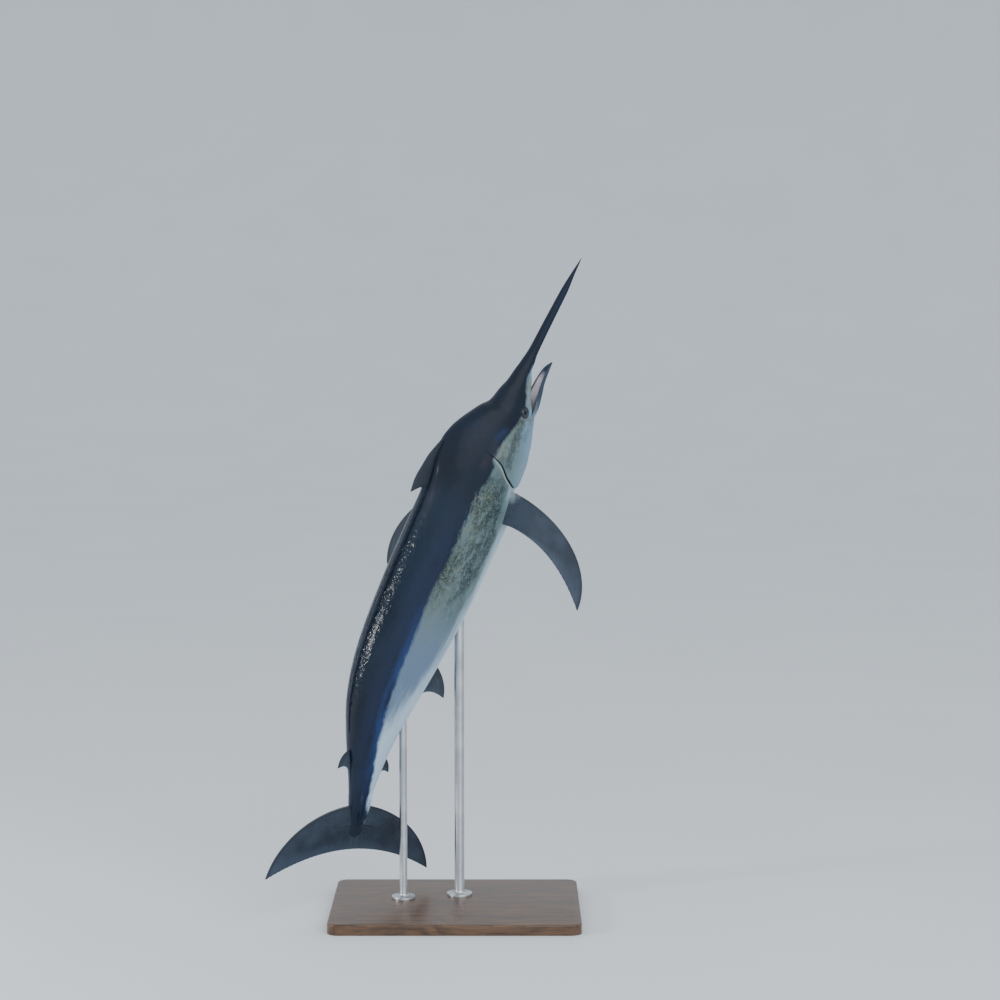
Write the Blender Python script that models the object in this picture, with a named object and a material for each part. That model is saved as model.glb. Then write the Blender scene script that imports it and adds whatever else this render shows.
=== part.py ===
"""A leaping black marlin as a still, life-size model on a display stand.

The fish is drawn in its own straight frame: x runs back from the tip of the lower jaw, side is to the
right of the fish and rise is towards its back. One function then leans, bends and rolls that frame into
the leap. Lengths marked as shares are per cent of the fork length, as fish are measured.
"""

import math

import bmesh
import bpy
import numpy as np
from mathutils import Vector

for old in list(bpy.data.objects):
    bpy.data.objects.remove(old, do_unlink=True)

# Driving sizes of the fish, in metres
FORK_LENGTH = 3.0
EYE_RADIUS = 0.036
GAP = 0.0004

# The leap, in degrees: lean of the axis from upright, and roll of the back towards the viewer
LEAN = ((-20, 26.9), (-1, 26.9), (4, 24.2), (51, 24.1), (60, 23.2), (66, 20.5), (73, 16.0), (84, 10.5), (112, 8.0))
ROLL = ((-20, 34.0), (25, 34.0), (45, 36.0), (65, 40.0), (112, 42.0))
JAW_TIP = Vector((0.435, 0.0, 3.165))

# Shares of the fork length: station, then height or half width of the body there
BACK = (
    (-19.6, 0.04), (-16.2, 0.48), (-12.7, 0.80), (-6.4, 1.0), (-0.7, 1.10), (2.0, 1.5), (4.3, 2.05),
    (6.5, 2.5), (8.2, 3.2), (11.0, 4.05), (12.6, 5.7), (14.4, 7.15), (16.3, 8.5), (18.5, 9.65), (21.1, 10.3),
    (24, 10.4), (28, 9.8), (33, 9.25), (44, 9.25), (53, 9.1), (60, 8.8), (66, 8.2), (72, 7.2), (78, 5.5),
    (84, 3.8), (89, 2.6), (94, 2.0), (98, 2.1),
)
BELLY = (
    (-19.6, 0.04), (-16.2, 0.18), (-12.7, 0.48), (-6.4, 0.50), (-0.7, 0.62), (3.0, 0.75), (4.6, 1.75),
    (7.2, 3.1), (9.0, 4.4), (11.0, 6.05), (13.0, 6.75), (16.6, 7.8), (19.4, 8.2), (22.5, 8.0), (25.0, 8.0),
    (28.0, 9.1), (32, 9.7), (44, 9.75), (53, 9.4), (60, 8.9), (66, 8.1), (72, 6.7), (78, 5.0), (84, 3.4),
    (89, 2.35), (94, 2.0), (98, 2.1),
)
FLANK = (
    (-19.6, 0.05), (-16.2, 0.38), (-12.7, 0.68), (-6.4, 0.85), (-0.7, 1.0), (4.3, 1.55), (8.2, 2.3),
    (11.0, 3.0), (14.4, 3.9), (18.5, 4.95), (24.6, 5.85), (31, 6.25), (42, 6.3), (53, 6.1), (62, 5.6),
    (70, 4.7), (78, 3.6), (84, 2.7), (89, 1.95), (93, 1.3), (96.5, 0.5), (98, 0.5),
)
# How full the section is: 2 is an ellipse, more is boxier
FULLNESS = ((-20, 2.0), (14, 2.0), (24, 2.1), (34, 2.3), (66, 2.3), (84, 2.1), (98, 2.0))

# Stations of the cuts between the body's nodes
BILL_BASE, MOUTH_CORNER, GILL_END = -0.7, 11.0, 27.0
MID_CUT, REAR_CUT, STALK_CUT, HYPURAL = 46.0, 64.0, 84.0, 96.5
# Gill margin: angle round the body from the ridge of the back, in degrees, and station
GILL_MARGIN = ((0, 19.6), (55, 19.6), (83, 20.4), (109, 23.1), (132, 24.2), (158, 22.4), (180, 20.6))
GILL_FLARE, GILL_STATION = 0.010, 22.0
AROUND = 40
JAW_EDGE_INDEX = 15
LIP_SIZE = 0.006

STEP = 0.005


def share(value):
    return value * FORK_LENGTH / 100.0


def curve_through(keys, scale=1.0):
    """A smooth curve through the keys that never swings past them."""
    xs = np.array([k[0] for k in keys], float)
    ys = np.array([k[1] for k in keys], float) * scale
    steps, rises = np.diff(xs), np.diff(ys)
    slopes = rises / steps
    tangents = np.zeros_like(ys)
    for i in range(1, len(xs) - 1):
        if slopes[i - 1] * slopes[i] > 0.0:
            a = 2 * steps[i] + steps[i - 1]
            b = steps[i] + 2 * steps[i - 1]
            tangents[i] = (a + b) / (a / slopes[i - 1] + b / slopes[i])
    tangents[0], tangents[-1] = slopes[0], slopes[-1]

    def value(x):
        x = min(max(x, xs[0]), xs[-1])
        i = min(int(np.searchsorted(xs, x, side="right")) - 1, len(steps) - 1)
        t = (x - xs[i]) / steps[i]
        h1 = (2 * t - 3) * t * t + 1
        h2 = ((t - 2) * t + 1) * t
        h3 = (3 - 2 * t) * t * t
        h4 = (t - 1) * t * t
        return h1 * ys[i] + h2 * steps[i] * tangents[i] + h3 * ys[i + 1] + h4 * steps[i] * tangents[i + 1]

    return value


def smoothstep(t):
    t = min(max(t, 0.0), 1.0)
    return t * t * (3.0 - 2.0 * t)


lean_at = curve_through(LEAN, math.pi / 180)
roll_at = curve_through(ROLL, math.pi / 180)
back_at = curve_through(BACK, FORK_LENGTH / 100)
belly_at = curve_through(BELLY, FORK_LENGTH / 100)
flank_at = curve_through(FLANK, FORK_LENGTH / 100)
fullness_at = curve_through(FULLNESS)
margin_at = curve_through(GILL_MARGIN)


def headward(station):
    lean = lean_at(station)
    return Vector((math.sin(lean), 0.0, math.cos(lean)))


def trace_axis():
    """Follows the fish's axis from the jaw tip, forwards to the bill and back to the tail."""
    points = {0: JAW_TIP.copy()}
    step = STEP * 100 / FORK_LENGTH
    for i in range(1, 1100):
        points[i] = points[i - 1] - headward((i - 0.5) * step) * STEP
    for i in range(-1, -200, -1):
        points[i] = points[i + 1] + headward((i + 0.5) * step) * STEP
    return points


AXIS = trace_axis()


def place(station, side, rise):
    """World point of a point given by its station (a share), side and rise in metres."""
    along = station * FORK_LENGTH / 100 / STEP
    i = math.floor(along)
    base = AXIS[i].lerp(AXIS[i + 1], along - i)
    lean, roll = lean_at(station), roll_at(station)
    upright = Vector((-math.cos(lean), 0.0, math.sin(lean)))
    near = Vector((0.0, -1.0, 0.0))
    dorsal = upright * math.cos(roll) + near * math.sin(roll)
    right = near * math.cos(roll) - upright * math.sin(roll)
    return base + right * side + dorsal * rise


def section(station, angle, swell=0.0):
    """Side and rise of the skin at an angle from the ridge of the back, with an outward swell."""
    c, s = math.cos(angle), math.sin(angle)
    power = 2.0 / fullness_at(station)
    half = flank_at(station)
    if c >= 0:
        height = back_at(station)
        narrow = 1 - 0.12 * smoothstep((station - 8) / 8) * smoothstep((40 - station) / 16) * c * c
    else:
        height = belly_at(station)
        narrow = 1 - 0.03 * c * c
    side = half * math.copysign(abs(s) ** power, s) * narrow
    rise = height * math.copysign(abs(c) ** power, c)
    if swell:
        outward = Vector((math.copysign(abs(s) ** (2 - power), s) / half,
                          math.copysign(abs(c) ** (2 - power), c) / height)).normalized()
        side += outward.x * swell
        rise += outward.y * swell
    return side, rise


def paint(name, colour, roughness, metallic=0.0):
    material = bpy.data.materials.new(name)
    material.use_nodes = True
    shader = material.node_tree.nodes["Principled BSDF"]
    shader.inputs["Base Color"].default_value = (*colour, 1.0)
    shader.inputs["Roughness"].default_value = roughness
    shader.inputs["Metallic"].default_value = metallic
    return material


SLATE = paint("slate_back", (0.035, 0.05, 0.07), 0.35)
BILL_SKIN = paint("bill_skin", (0.03, 0.035, 0.05), 0.45)
FIN_SKIN = paint("fin_skin", (0.04, 0.05, 0.07), 0.45)
EYE_GLOSS = paint("eye_gloss", (0.02, 0.025, 0.03), 0.08)
STAND_WOOD = paint("stand_wood", (0.12, 0.07, 0.04), 0.4)
STAND_STEEL = paint("stand_steel", (0.5, 0.5, 0.52), 0.3, 1.0)


def solid(name, points, faces, material):
    """A closed mesh object from world points and faces, with its faces turned outwards."""
    mesh = bpy.data.meshes.new(name)
    work = bmesh.new()
    corners = [work.verts.new(p) for p in points]
    for face in faces:
        work.faces.new([corners[i] for i in face])
    bmesh.ops.remove_doubles(work, verts=work.verts, dist=0.00002)
    bmesh.ops.dissolve_degenerate(work, edges=work.edges, dist=0.00001)
    bmesh.ops.triangulate(work, faces=[f for f in work.faces if len(f.verts) > 3])
    bmesh.ops.recalc_face_normals(work, faces=work.faces)
    if work.calc_volume(signed=True) < 0:
        bmesh.ops.reverse_faces(work, faces=work.faces)
    work.to_mesh(mesh)
    work.free()
    mesh.materials.append(material)
    body = bpy.data.objects.new(name, mesh)
    bpy.context.scene.collection.objects.link(body)
    mesh.shade_smooth()
    mesh.set_sharp_from_angle(angle=math.radians(35))
    return body


def loft(name, rings, material):
    """Rings of equal count joined into one closed skin, each end closed by a fan to its middle."""
    count = len(rings[0])
    points = [p for ring in rings for p in ring]
    faces = []
    for r in range(len(rings) - 1):
        for i in range(count):
            a, b = r * count + i, r * count + (i + 1) % count
            faces += [(a, b, b + count), (a, b + count, a + count)]
    for r in (0, len(rings) - 1):
        middle = len(points)
        points.append(sum(rings[r], Vector()) / count)
        faces += [(middle, r * count + i, r * count + (i + 1) % count) for i in range(count)]
    return solid(name, points, faces, material)


def shift(ring, distance, station):
    """The ring moved along the axis, towards the tail where the distance is positive."""
    return [p - headward(station) * distance for p in ring]


def angle_of(index, around=AROUND):
    return 2 * math.pi * index / around


def flare_at(station, angle):
    """How far the gill cover stands proud of the body, rising towards its free edge."""
    degrees = math.degrees(min(angle, 2 * math.pi - angle))
    reach = smoothstep((degrees - 68) / 20)
    rise = smoothstep((station - margin_at(degrees) + 5.0) / 5.0)
    return GILL_FLARE * reach * rise


def body_ring(station, swell=0.0, around=AROUND):
    return [place(station, *section(station, angle_of(i, around), swell)) for i in range(around)]


def margin_station(angle):
    return margin_at(math.degrees(min(angle, 2 * math.pi - angle)))


def cheek_ring(t, swell=0.0):
    """Ring between the mouth corner (0) and the gill margin (1), with the gill cover's flare."""
    ring = []
    for i in range(AROUND):
        angle = angle_of(i)
        station = MOUTH_CORNER + (margin_station(angle) - MOUTH_CORNER) * t
        ring.append(place(station, *section(station, angle, swell + flare_at(station, angle))))
    return ring


def shoulder_ring(t, swell=0.0):
    """Ring between the gill margin (0) and the planar station behind it (1)."""
    ring = []
    for i in range(AROUND):
        angle = angle_of(i)
        station = margin_station(angle) + (GILL_END - margin_station(angle)) * t
        ring.append(place(station, *section(station, angle, swell)))
    return ring


def palate_ring(station):
    """Ring of the upper jaw: skin down to the lip, then the roof of the mouth across to the other lip."""
    lip = LIP_SIZE * smoothstep((station - BILL_BASE) / 3) * smoothstep((MOUTH_CORNER - station) / 1.5)
    lip_side, lip_rise = section(station, angle_of(JAW_EDGE_INDEX), lip)
    arch_share = -0.7 + 1.25 * smoothstep((station - BILL_BASE) / 6)
    arch = arch_share * min(lip_side * 0.6, belly_at(station) * 0.5)
    ring = []
    for i in range(AROUND):
        k = min(i, AROUND - i)
        sign = 1 if i <= AROUND // 2 else -1
        if k <= JAW_EDGE_INDEX:
            swell = lip * (0.0, 0.8, 1.0)[max(k - JAW_EDGE_INDEX + 2, 0)]
            ring.append(place(station, *section(station, angle_of(i), swell)))
        else:
            v = (k - JAW_EDGE_INDEX) / (AROUND / 2 - JAW_EDGE_INDEX)
            inset = lip if k == JAW_EDGE_INDEX + 1 else 0.0
            vault = arch * math.sin(v * math.pi / 2) + inset
            ring.append(place(station, sign * (lip_side * (1 - v) - 0.5 * inset), lip_rise + vault))
    return ring


def stations(start, end, count):
    return [start + (end - start) * i / (count - 1) for i in range(count)]


def build_bill():
    rings = [body_ring(s, around=20) for s in stations(-19.5, BILL_BASE, 12)]
    return loft("bill", rings[:-1] + [shift(rings[-1], -GAP, BILL_BASE)], BILL_SKIN)


def build_head():
    rings = [palate_ring(s) for s in stations(BILL_BASE, MOUTH_CORNER, 11)]
    rings += [cheek_ring(t) for t in stations(0.0, 1.0, 12)]
    rings[-1] = shift(rings[-1], -GAP, GILL_STATION)
    rings.append(shift(shoulder_ring(0.0), -GAP, GILL_STATION))
    return loft("head", rings, SLATE)


def body_rings(start, end, count, swell=0.0):
    return [body_ring(s, swell) for s in stations(start, end, count)]


def build_trunk():
    front = [shoulder_ring(t) for t in stations(0.0, 1.0, 5)][:-1] + body_rings(GILL_END, MID_CUT, 8)
    loft("trunk_front", front[:-1] + [shift(front[-1], -GAP, MID_CUT)], SLATE)
    mid = body_rings(MID_CUT, REAR_CUT, 8)
    loft("trunk_middle", mid[:-1] + [shift(mid[-1], -GAP, REAR_CUT)], SLATE)
    rear = body_rings(REAR_CUT, STALK_CUT, 9)
    loft("trunk_rear", rear[:-1] + [shift(rear[-1], -GAP, STALK_CUT)], SLATE)
    loft("tail_stalk", body_rings(STALK_CUT, HYPURAL, 9), SLATE)


# Lower jaw: station, then share of the fork length
JAW_RIM = ((0, -4.75), (1.0, -4.4), (4.7, -4.0), (8.6, -4.12), (11.0, -4.28))
JAW_KEEL = ((0, -4.9), (1.0, -4.95), (4.5, -5.2), (6.4, -5.65), (8.3, -5.95), (11.0, -6.05))
JAW_HALF = ((0, 0.10), (1.0, 0.40), (4.7, 0.95), (8.6, 1.65), (11.0, 2.12))


def build_jaw():
    rim_at = curve_through(JAW_RIM, FORK_LENGTH / 100)
    keel_at = curve_through(JAW_KEEL, FORK_LENGTH / 100)
    half_at = curve_through(JAW_HALF, FORK_LENGTH / 100)
    lower = 14
    upper = 8
    lip_side, lip_rise = section(MOUTH_CORNER, angle_of(JAW_EDGE_INDEX))
    rings = []
    for station in stations(0.0, MOUTH_CORNER, 12):
        blend = smoothstep((station - 7.5) / (MOUTH_CORNER - 7.5))
        half = half_at(station) * (1 - blend) + lip_side * blend
        rim = rim_at(station) * (1 - blend) + lip_rise * blend
        keel = keel_at(station)
        lip = LIP_SIZE * smoothstep(station / 2) * smoothstep((MOUTH_CORNER - station) / 1.5)
        ring = []
        for i in range(lower + 1):
            a = math.pi * i / lower
            edge = lip if i in (0, lower) else 0.5 * lip if i in (1, lower - 1) else 0.0
            ring.append(place(station, (half + edge) * math.cos(a), rim + edge + (keel - rim) * math.sin(a)))
        for i in range(1, upper):
            a = math.pi * i / upper
            ring.append(place(station, -half * math.cos(a), rim - 0.35 * half * math.sin(a) ** 0.7 - 0.3 * lip))
        rings.append(ring)
    rings[-1] = shift(rings[-1], -GAP, MOUTH_CORNER)
    return loft("lower_jaw", rings, BILL_SKIN)


def body_cutter():
    """The whole body as one closed skin, a gap larger than the nodes, to trim what grows from it."""
    swell = GAP + 0.0002
    rings = [cheek_ring(t, swell) for t in stations(0.3, 1.0, 10)]
    rings += [shoulder_ring(t, swell) for t in stations(0.0, 1.0, 5)][1:]
    rings += body_rings(GILL_END, MID_CUT, 8, swell)[1:]
    rings += body_rings(MID_CUT, REAR_CUT, 8, swell)[1:]
    rings += body_rings(REAR_CUT, STALK_CUT, 9, swell)[1:]
    rings += body_rings(STALK_CUT, HYPURAL, 9, swell)[1:]
    rings[-1] = shift(rings[-1], GAP, HYPURAL)
    cutter = loft("body_cutter", rings, SLATE)
    cutter.hide_render = True
    cutter.display_type = "WIRE"
    return cutter


def settle(body):
    """Applies the object's modifiers and keeps its largest closed surface."""
    graph = bpy.context.evaluated_depsgraph_get()
    mesh = bpy.data.meshes.new_from_object(body.evaluated_get(graph), depsgraph=graph)
    body.modifiers.clear()
    work = bmesh.new()
    work.from_mesh(mesh)
    islands, seen = [], set()
    for start in work.faces:
        if start in seen:
            continue
        seen.add(start)
        island, stack = [], [start]
        while stack:
            face = stack.pop()
            island.append(face)
            for edge in face.edges:
                for other in edge.link_faces:
                    if other not in seen:
                        seen.add(other)
                        stack.append(other)
        islands.append(island)
    islands.sort(key=lambda group: sum(f.calc_area() for f in group), reverse=True)
    scraps = [f for group in islands[1:] for f in group]
    bmesh.ops.delete(work, geom=scraps, context="FACES")
    bmesh.ops.triangulate(work, faces=[f for f in work.faces if len(f.verts) > 3])
    work.to_mesh(mesh)
    work.free()
    body.data = mesh
    mesh.shade_smooth()
    mesh.set_sharp_from_angle(angle=math.radians(35))
    return body


def cut(body, cutter):
    modifier = body.modifiers.new("cut", "BOOLEAN")
    modifier.operation = "DIFFERENCE"
    modifier.solver = "EXACT"
    modifier.object = cutter
    return settle(body)


def fin(name, point, across, thick, rays, rows, material=FIN_SKIN):
    """A thin fin from a surface point(u, v): u runs from the first ray to the last, v along each ray.

    Points are fish-frame vectors (x in metres, side, rise), across is the direction through the fin
    and thick(u, v) its half thickness. The two faces share one splitting into triangles.
    """
    columns = rays * 2
    width = rows + 1
    points, faces = [], []
    for sign in (1, -1):
        for i in range(columns + 1):
            for j in range(rows + 1):
                u, v = i / columns, j / rows
                half = thick(u, v) + RAY_RIDGE * (i % 2) * (1 - 0.6 * v)
                p = point(u, v) + across * (half * sign)
                points.append(place(p.x * 100 / FORK_LENGTH, p.y, p.z))
    block = (columns + 1) * width
    for i in range(columns):
        for j in range(rows):
            a = i * width + j
            b, c, d = a + width, a + width + 1, a + 1
            faces += [(a, b, c), (a, c, d), (a + block, c + block, b + block), (a + block, d + block, c + block)]
    rim = [(i, 0) for i in range(columns)] + [(columns, j) for j in range(rows)]
    rim += [(i, rows) for i in range(columns, 0, -1)] + [(0, j) for j in range(rows, 0, -1)]
    ids = [i * width + j for i, j in rim]
    for k, a in enumerate(ids):
        b = ids[(k + 1) % len(ids)]
        faces += [(a, b + block, b), (a, a + block, b + block)]
    return solid(name, points, faces, material)


def at(station, side, rise):
    return Vector((share(station), side, rise))


def blade(full, thin_edge=0.25, tip=0.3):
    """Half thickness: fullest near the root and the leading third, thin at the edges and the tip."""

    def half(u, v):
        across_fin = thin_edge + (1 - thin_edge) * math.sin(math.pi * min(max(0.12 + 0.83 * u, 0), 1)) ** 0.6
        return full / 2 * across_fin * (1 - (1 - tip) * v)

    return half


CUTTER = body_cutter()
SIDE = Vector((0, 1, 0))
SUNK = 0.02
RAY_RIDGE = 0.001


def build_first_dorsal():
    """The folded first dorsal: its lobe lies back over the nape, then a low ridge of folded rays."""
    lobe_share, notch_share = 0.26, 0.32
    foot_at = curve_through(((0, 20.6), (lobe_share, 28.3), (notch_share, 30.0), (1, 77.0)))
    reach_at = curve_through(((0, 20.9), (0.12, 25.9), (lobe_share, 32.2), (notch_share, 30.7), (0.36, 33.2), (1, 77.6)))
    height_at = curve_through(((0, 0.012), (0.12, 0.062), (0.20, 0.095), (lobe_share, 0.092), (notch_share, 0.036),
                               (0.36, 0.020), (0.7, 0.016), (1, 0.006)))

    def point(u, v):
        foot, reach = foot_at(u), reach_at(u)
        start = at(foot, 0, back_at(foot) - SUNK)
        end = at(reach, 0, back_at(reach) + height_at(u))
        return start.lerp(end, v)

    def thick(u, v):
        return 0.006 - 0.0035 * v

    return cut(fin("dorsal_fin_first", point, SIDE, thick, 38, 3), CUTTER)


def falcate(name, origin, chord, height, slant, up, thick, rays=8, rows=5):
    """A sickle-shaped fin on the midline, on the back (up = 1) or the belly (up = -1).

    Its first rays are long and make the lobe, the last are short, and all lean back by the slant.
    """
    surface = back_at if up > 0 else belly_at

    def point(u, v):
        foot = origin + chord * u
        length = 0.018 + height * (1 - u) ** 3.2
        turn = math.radians(slant) * (0.55 + 0.45 * v)
        out = (length + SUNK) * v
        back = share(foot) + out * math.sin(turn)
        station = back * 100 / FORK_LENGTH
        level = surface(foot) * (1 - v) + surface(station) * v
        return Vector((back, 0, up * (level - SUNK + out * math.cos(turn))))

    return cut(fin(name, point, SIDE, blade(thick), rays, rows), CUTTER)


# Pectoral fins: reach outwards and backwards of the sickle, and where it grows from the shoulder
PEC_OUT, PEC_BACK, PEC_BASE, PEC_ANGLE = 0.606, 0.445, 0.190, 128
PEC_LEAD, PEC_SUNK = 25.0, 0.035


def build_pectoral(name, sign, droop, fold):
    """A stiff sickle fin from low on the shoulder, held out and swept back."""
    droop, fold = math.radians(droop), math.radians(fold)
    outward = Vector((0, sign * math.cos(droop), -math.sin(droop)))
    normal = Vector((0, sign * math.sin(droop), math.cos(droop)))
    backward = Vector((1, 0, 0))
    side, rise = section(PEC_LEAD + 3, math.radians(PEC_ANGLE))
    hub = at(PEC_LEAD, sign * side, rise)

    def flat(u, v):
        """Outward and backward reach in the fin's own plane."""
        tip_share = (1 - u) ** 0.9
        end_out = 0.045 + (PEC_OUT - 0.045) * tip_share
        end_back = 0.183 + (PEC_BACK - 0.183) * tip_share ** 2.2
        turn = v * math.pi / 2
        out = -PEC_SUNK + (end_out + PEC_SUNK) * math.sin(turn)
        start_back = PEC_BASE * u
        return out, start_back + (end_back - start_back) * (1 - math.cos(turn))

    def point(u, v):
        out, back = flat(u, v)
        turned_out = out * math.cos(fold) - (back - 0.4 * PEC_BASE) * math.sin(fold)
        turned_back = 0.4 * PEC_BASE + out * math.sin(fold) + (back - 0.4 * PEC_BASE) * math.cos(fold)
        return hub + outward * turned_out + backward * turned_back

    return cut(fin(name, point, normal, blade(0.024), 10, 8), CUTTER)


def build_pelvic(name, sign):
    """A thin, narrow fin folded back along the belly."""
    begin, reach = 27.5, 9.3

    def point(u, v):
        station = begin + reach * v
        side, rise = section(station, math.radians(171))
        inner = -0.012 + 0.014 * v
        width = (0.005 + 0.015 * (1 - v) ** 0.7) * smoothstep(v / 0.12) + 0.004
        return at(station, sign * (side + 0.002 * v), rise - inner - width * u)

    return cut(fin(name, point, SIDE, lambda u, v: 0.0035 - 0.002 * v, 2, 9), CUTTER)


def build_keel(name, sign, rise_share):
    """A low flat keel along the side of the tail stalk."""
    begin, end = 88.5, 95.0

    def point(u, v):
        station = begin + (end - begin) * u
        inner = flank_at(station) * 0.75
        outer = flank_at(station) + 0.001 + 0.020 * math.sin(math.pi * u) ** 0.8
        return at(station, sign * (inner + (outer - inner) * v), rise_share * (1 - 0.3 * u) * back_at(station))

    return cut(fin(name, point, Vector((0, 0, 1)), lambda u, v: 0.006 - 0.004 * v, 5, 2), CUTTER)


# Tail fin: reach of a lobe's tip across and behind its root, and how far its root wraps the stalk
TAIL_SPAN, TAIL_BACK, TAIL_WRAP, FORK_STATION = 0.585, 0.40, 91.5, 100.0


def build_tail_lobe(name, up):
    """One half of the crescent tail fin; the halves meet at the fork."""
    inner = back_at(HYPURAL)

    def point(u, v):
        heel = HYPURAL - 1.2
        if u < 0.4:
            foot = at(TAIL_WRAP + (heel - TAIL_WRAP) * u / 0.4, 0, up * (inner - 0.014))
        else:
            foot = at(heel, 0, up * (GAP / 2 + (inner - 0.014 - GAP / 2) * (1 - u) / 0.6))
        tip_share = (1 - u) ** 0.85
        fork = at(FORK_STATION, 0, up * GAP / 2)
        end_rise = GAP / 2 + (TAIL_SPAN - GAP / 2) * tip_share
        end_back = fork.x + (share(TAIL_WRAP) + TAIL_BACK - fork.x) * tip_share ** 2.0
        turn = v * math.pi / 2
        rise = abs(foot.z) + (end_rise - abs(foot.z)) * (0.75 * math.sin(turn) + 0.25 * v)
        along = foot.x + (end_back - foot.x) * (0.75 * (1 - math.cos(turn)) + 0.25 * v)
        return Vector((along, 0, up * rise))

    return cut(fin(name, point, SIDE, blade(0.026), 12, 7), CUTTER)


EYE_STATION, EYE_RISE, EYE_DEPTH, EYE_FLATNESS = 10.7, -0.060, 0.014, 0.58
RIM_RADIUS, RIM_THICK = 0.0315, 0.0055
# Nostrils: station, rise and radius
NOSTRILS = ((9.15, -0.040, 0.0065), (8.75, -0.038, 0.0045))


def ball(name, radius, centre, material, segments=10, rings=6, look=Vector((0, 0, 1)), flatness=1.0):
    """A ball, or one flattened along the way it looks."""
    mesh = bpy.data.meshes.new(name)
    work = bmesh.new()
    bmesh.ops.create_uvsphere(work, u_segments=segments, v_segments=rings, radius=radius)
    turned = Vector((0, 0, 1)).rotation_difference(look)
    for vert in work.verts:
        vert.co.z *= flatness
        vert.co = centre + turned @ vert.co
    bmesh.ops.triangulate(work, faces=[f for f in work.faces if len(f.verts) > 3])
    work.to_mesh(mesh)
    work.free()
    mesh.materials.append(material)
    mesh.shade_smooth()
    body = bpy.data.objects.new(name, mesh)
    bpy.context.scene.collection.objects.link(body)
    return body


def skin_side(station, rise):
    """Half width of the body at a given rise."""
    height = back_at(station) if rise > 0 else belly_at(station)
    power = fullness_at(station)
    return flank_at(station) * (1 - min(abs(rise) / height, 1) ** power) ** (1 / power)


def skin_point(station, rise, sign, out=0.0):
    return place(station, sign * (skin_side(station, rise) + out), rise)


def eye_look(sign):
    """The way the eye looks: square to the skin over it."""
    along = skin_point(EYE_STATION + 0.8, EYE_RISE, sign) - skin_point(EYE_STATION - 0.8, EYE_RISE, sign)
    upward = skin_point(EYE_STATION, EYE_RISE + 0.02, sign) - skin_point(EYE_STATION, EYE_RISE - 0.02, sign)
    return (upward.cross(along) * sign).normalized()


def eye_centre(sign):
    return skin_point(EYE_STATION, EYE_RISE, sign) - eye_look(sign) * EYE_DEPTH


def eye_rim(sign, turns=20, sides=6):
    """A soft ring of skin round the eye, half sunk in the head."""
    middle = skin_point(EYE_STATION, EYE_RISE, sign)
    axis = (middle - eye_centre(sign)).normalized()
    along = (headward(EYE_STATION) - axis * headward(EYE_STATION).dot(axis)).normalized()
    across = axis.cross(along)
    points, faces = [], []
    for i in range(turns):
        spoke = along * math.cos(2 * math.pi * i / turns) + across * math.sin(2 * math.pi * i / turns)
        for j in range(sides):
            a = 2 * math.pi * j / sides
            points.append(middle + spoke * (RIM_RADIUS + RIM_THICK * math.cos(a)) + axis * RIM_THICK * math.sin(a))
    for i in range(turns):
        for j in range(sides):
            a, b = i * sides + j, i * sides + (j + 1) % sides
            c, d = (b + sides) % (turns * sides), (a + sides) % (turns * sides)
            faces.append((a, b, c, d))
    return solid("eye_rim", points, faces, SLATE)


def join(body, pieces):
    """One Boolean union of the body with a collection of closed pieces, which are then removed."""
    group = bpy.data.collections.new("pieces")
    bpy.context.scene.collection.children.link(group)
    for piece in pieces:
        bpy.context.scene.collection.objects.unlink(piece)
        group.objects.link(piece)
    modifier = body.modifiers.new("join", "BOOLEAN")
    modifier.operation = "UNION"
    modifier.solver = "EXACT"
    modifier.operand_type = "COLLECTION"
    modifier.collection = group
    settle(body)
    for piece in pieces:
        bpy.data.objects.remove(piece)
    bpy.data.collections.remove(group)
    return body


def build_face(head):
    """Eye rims, the flattened eyes in cups cut a gap wider than they are, and two nostrils ahead of each."""
    join(head, [eye_rim(1), eye_rim(-1)])
    for word, sign in (("right", 1), ("left", -1)):
        spot, look = eye_centre(sign), eye_look(sign)
        cup = ball("eye_cup", EYE_RADIUS + 0.0010, spot, EYE_GLOSS, 20, 10, look, EYE_FLATNESS)
        cut(head, cup)
        bpy.data.objects.remove(cup)
        ball("eye_" + word, EYE_RADIUS, spot, EYE_GLOSS, 20, 10, look, EYE_FLATNESS)
        for station, rise, radius in NOSTRILS:
            pit = ball("nostril", radius, skin_point(station, rise, sign), EYE_GLOSS)
            cut(head, pit)
            bpy.data.objects.remove(pit)


# The stand: a flat plinth and two short steel rods that rise to the belly
BASE_WIDTH, BASE_DEPTH, BASE_THICK = 1.40, 1.00, 0.06
FLANGE_WIDTH, FLANGE_THICK = 0.045, 0.014


def build_base():
    mesh = bpy.data.meshes.new("stand_base")
    work = bmesh.new()
    bmesh.ops.create_cube(work, size=1.0)
    for vert in work.verts:
        vert.co.x *= BASE_WIDTH
        vert.co.y *= BASE_DEPTH
        vert.co.z = (vert.co.z + 0.5) * BASE_THICK
    corners = [e for e in work.edges if abs(e.verts[0].co.z - e.verts[1].co.z) > 0.01]
    bmesh.ops.bevel(work, geom=corners, offset=0.06, segments=6, affect="EDGES", profile=0.5)
    top = [e for e in work.edges if all(v.co.z > BASE_THICK - 0.001 for v in e.verts) and len(e.link_faces) == 2
           and any(abs(f.normal.z) < 0.5 for f in e.link_faces)]
    bmesh.ops.bevel(work, geom=top, offset=0.010, segments=3, affect="EDGES", profile=0.5)
    bmesh.ops.triangulate(work, faces=work.faces)
    work.to_mesh(mesh)
    work.free()
    mesh.materials.append(STAND_WOOD)
    body = bpy.data.objects.new("stand_base", mesh)
    bpy.context.scene.collection.objects.link(body)
    return body


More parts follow.
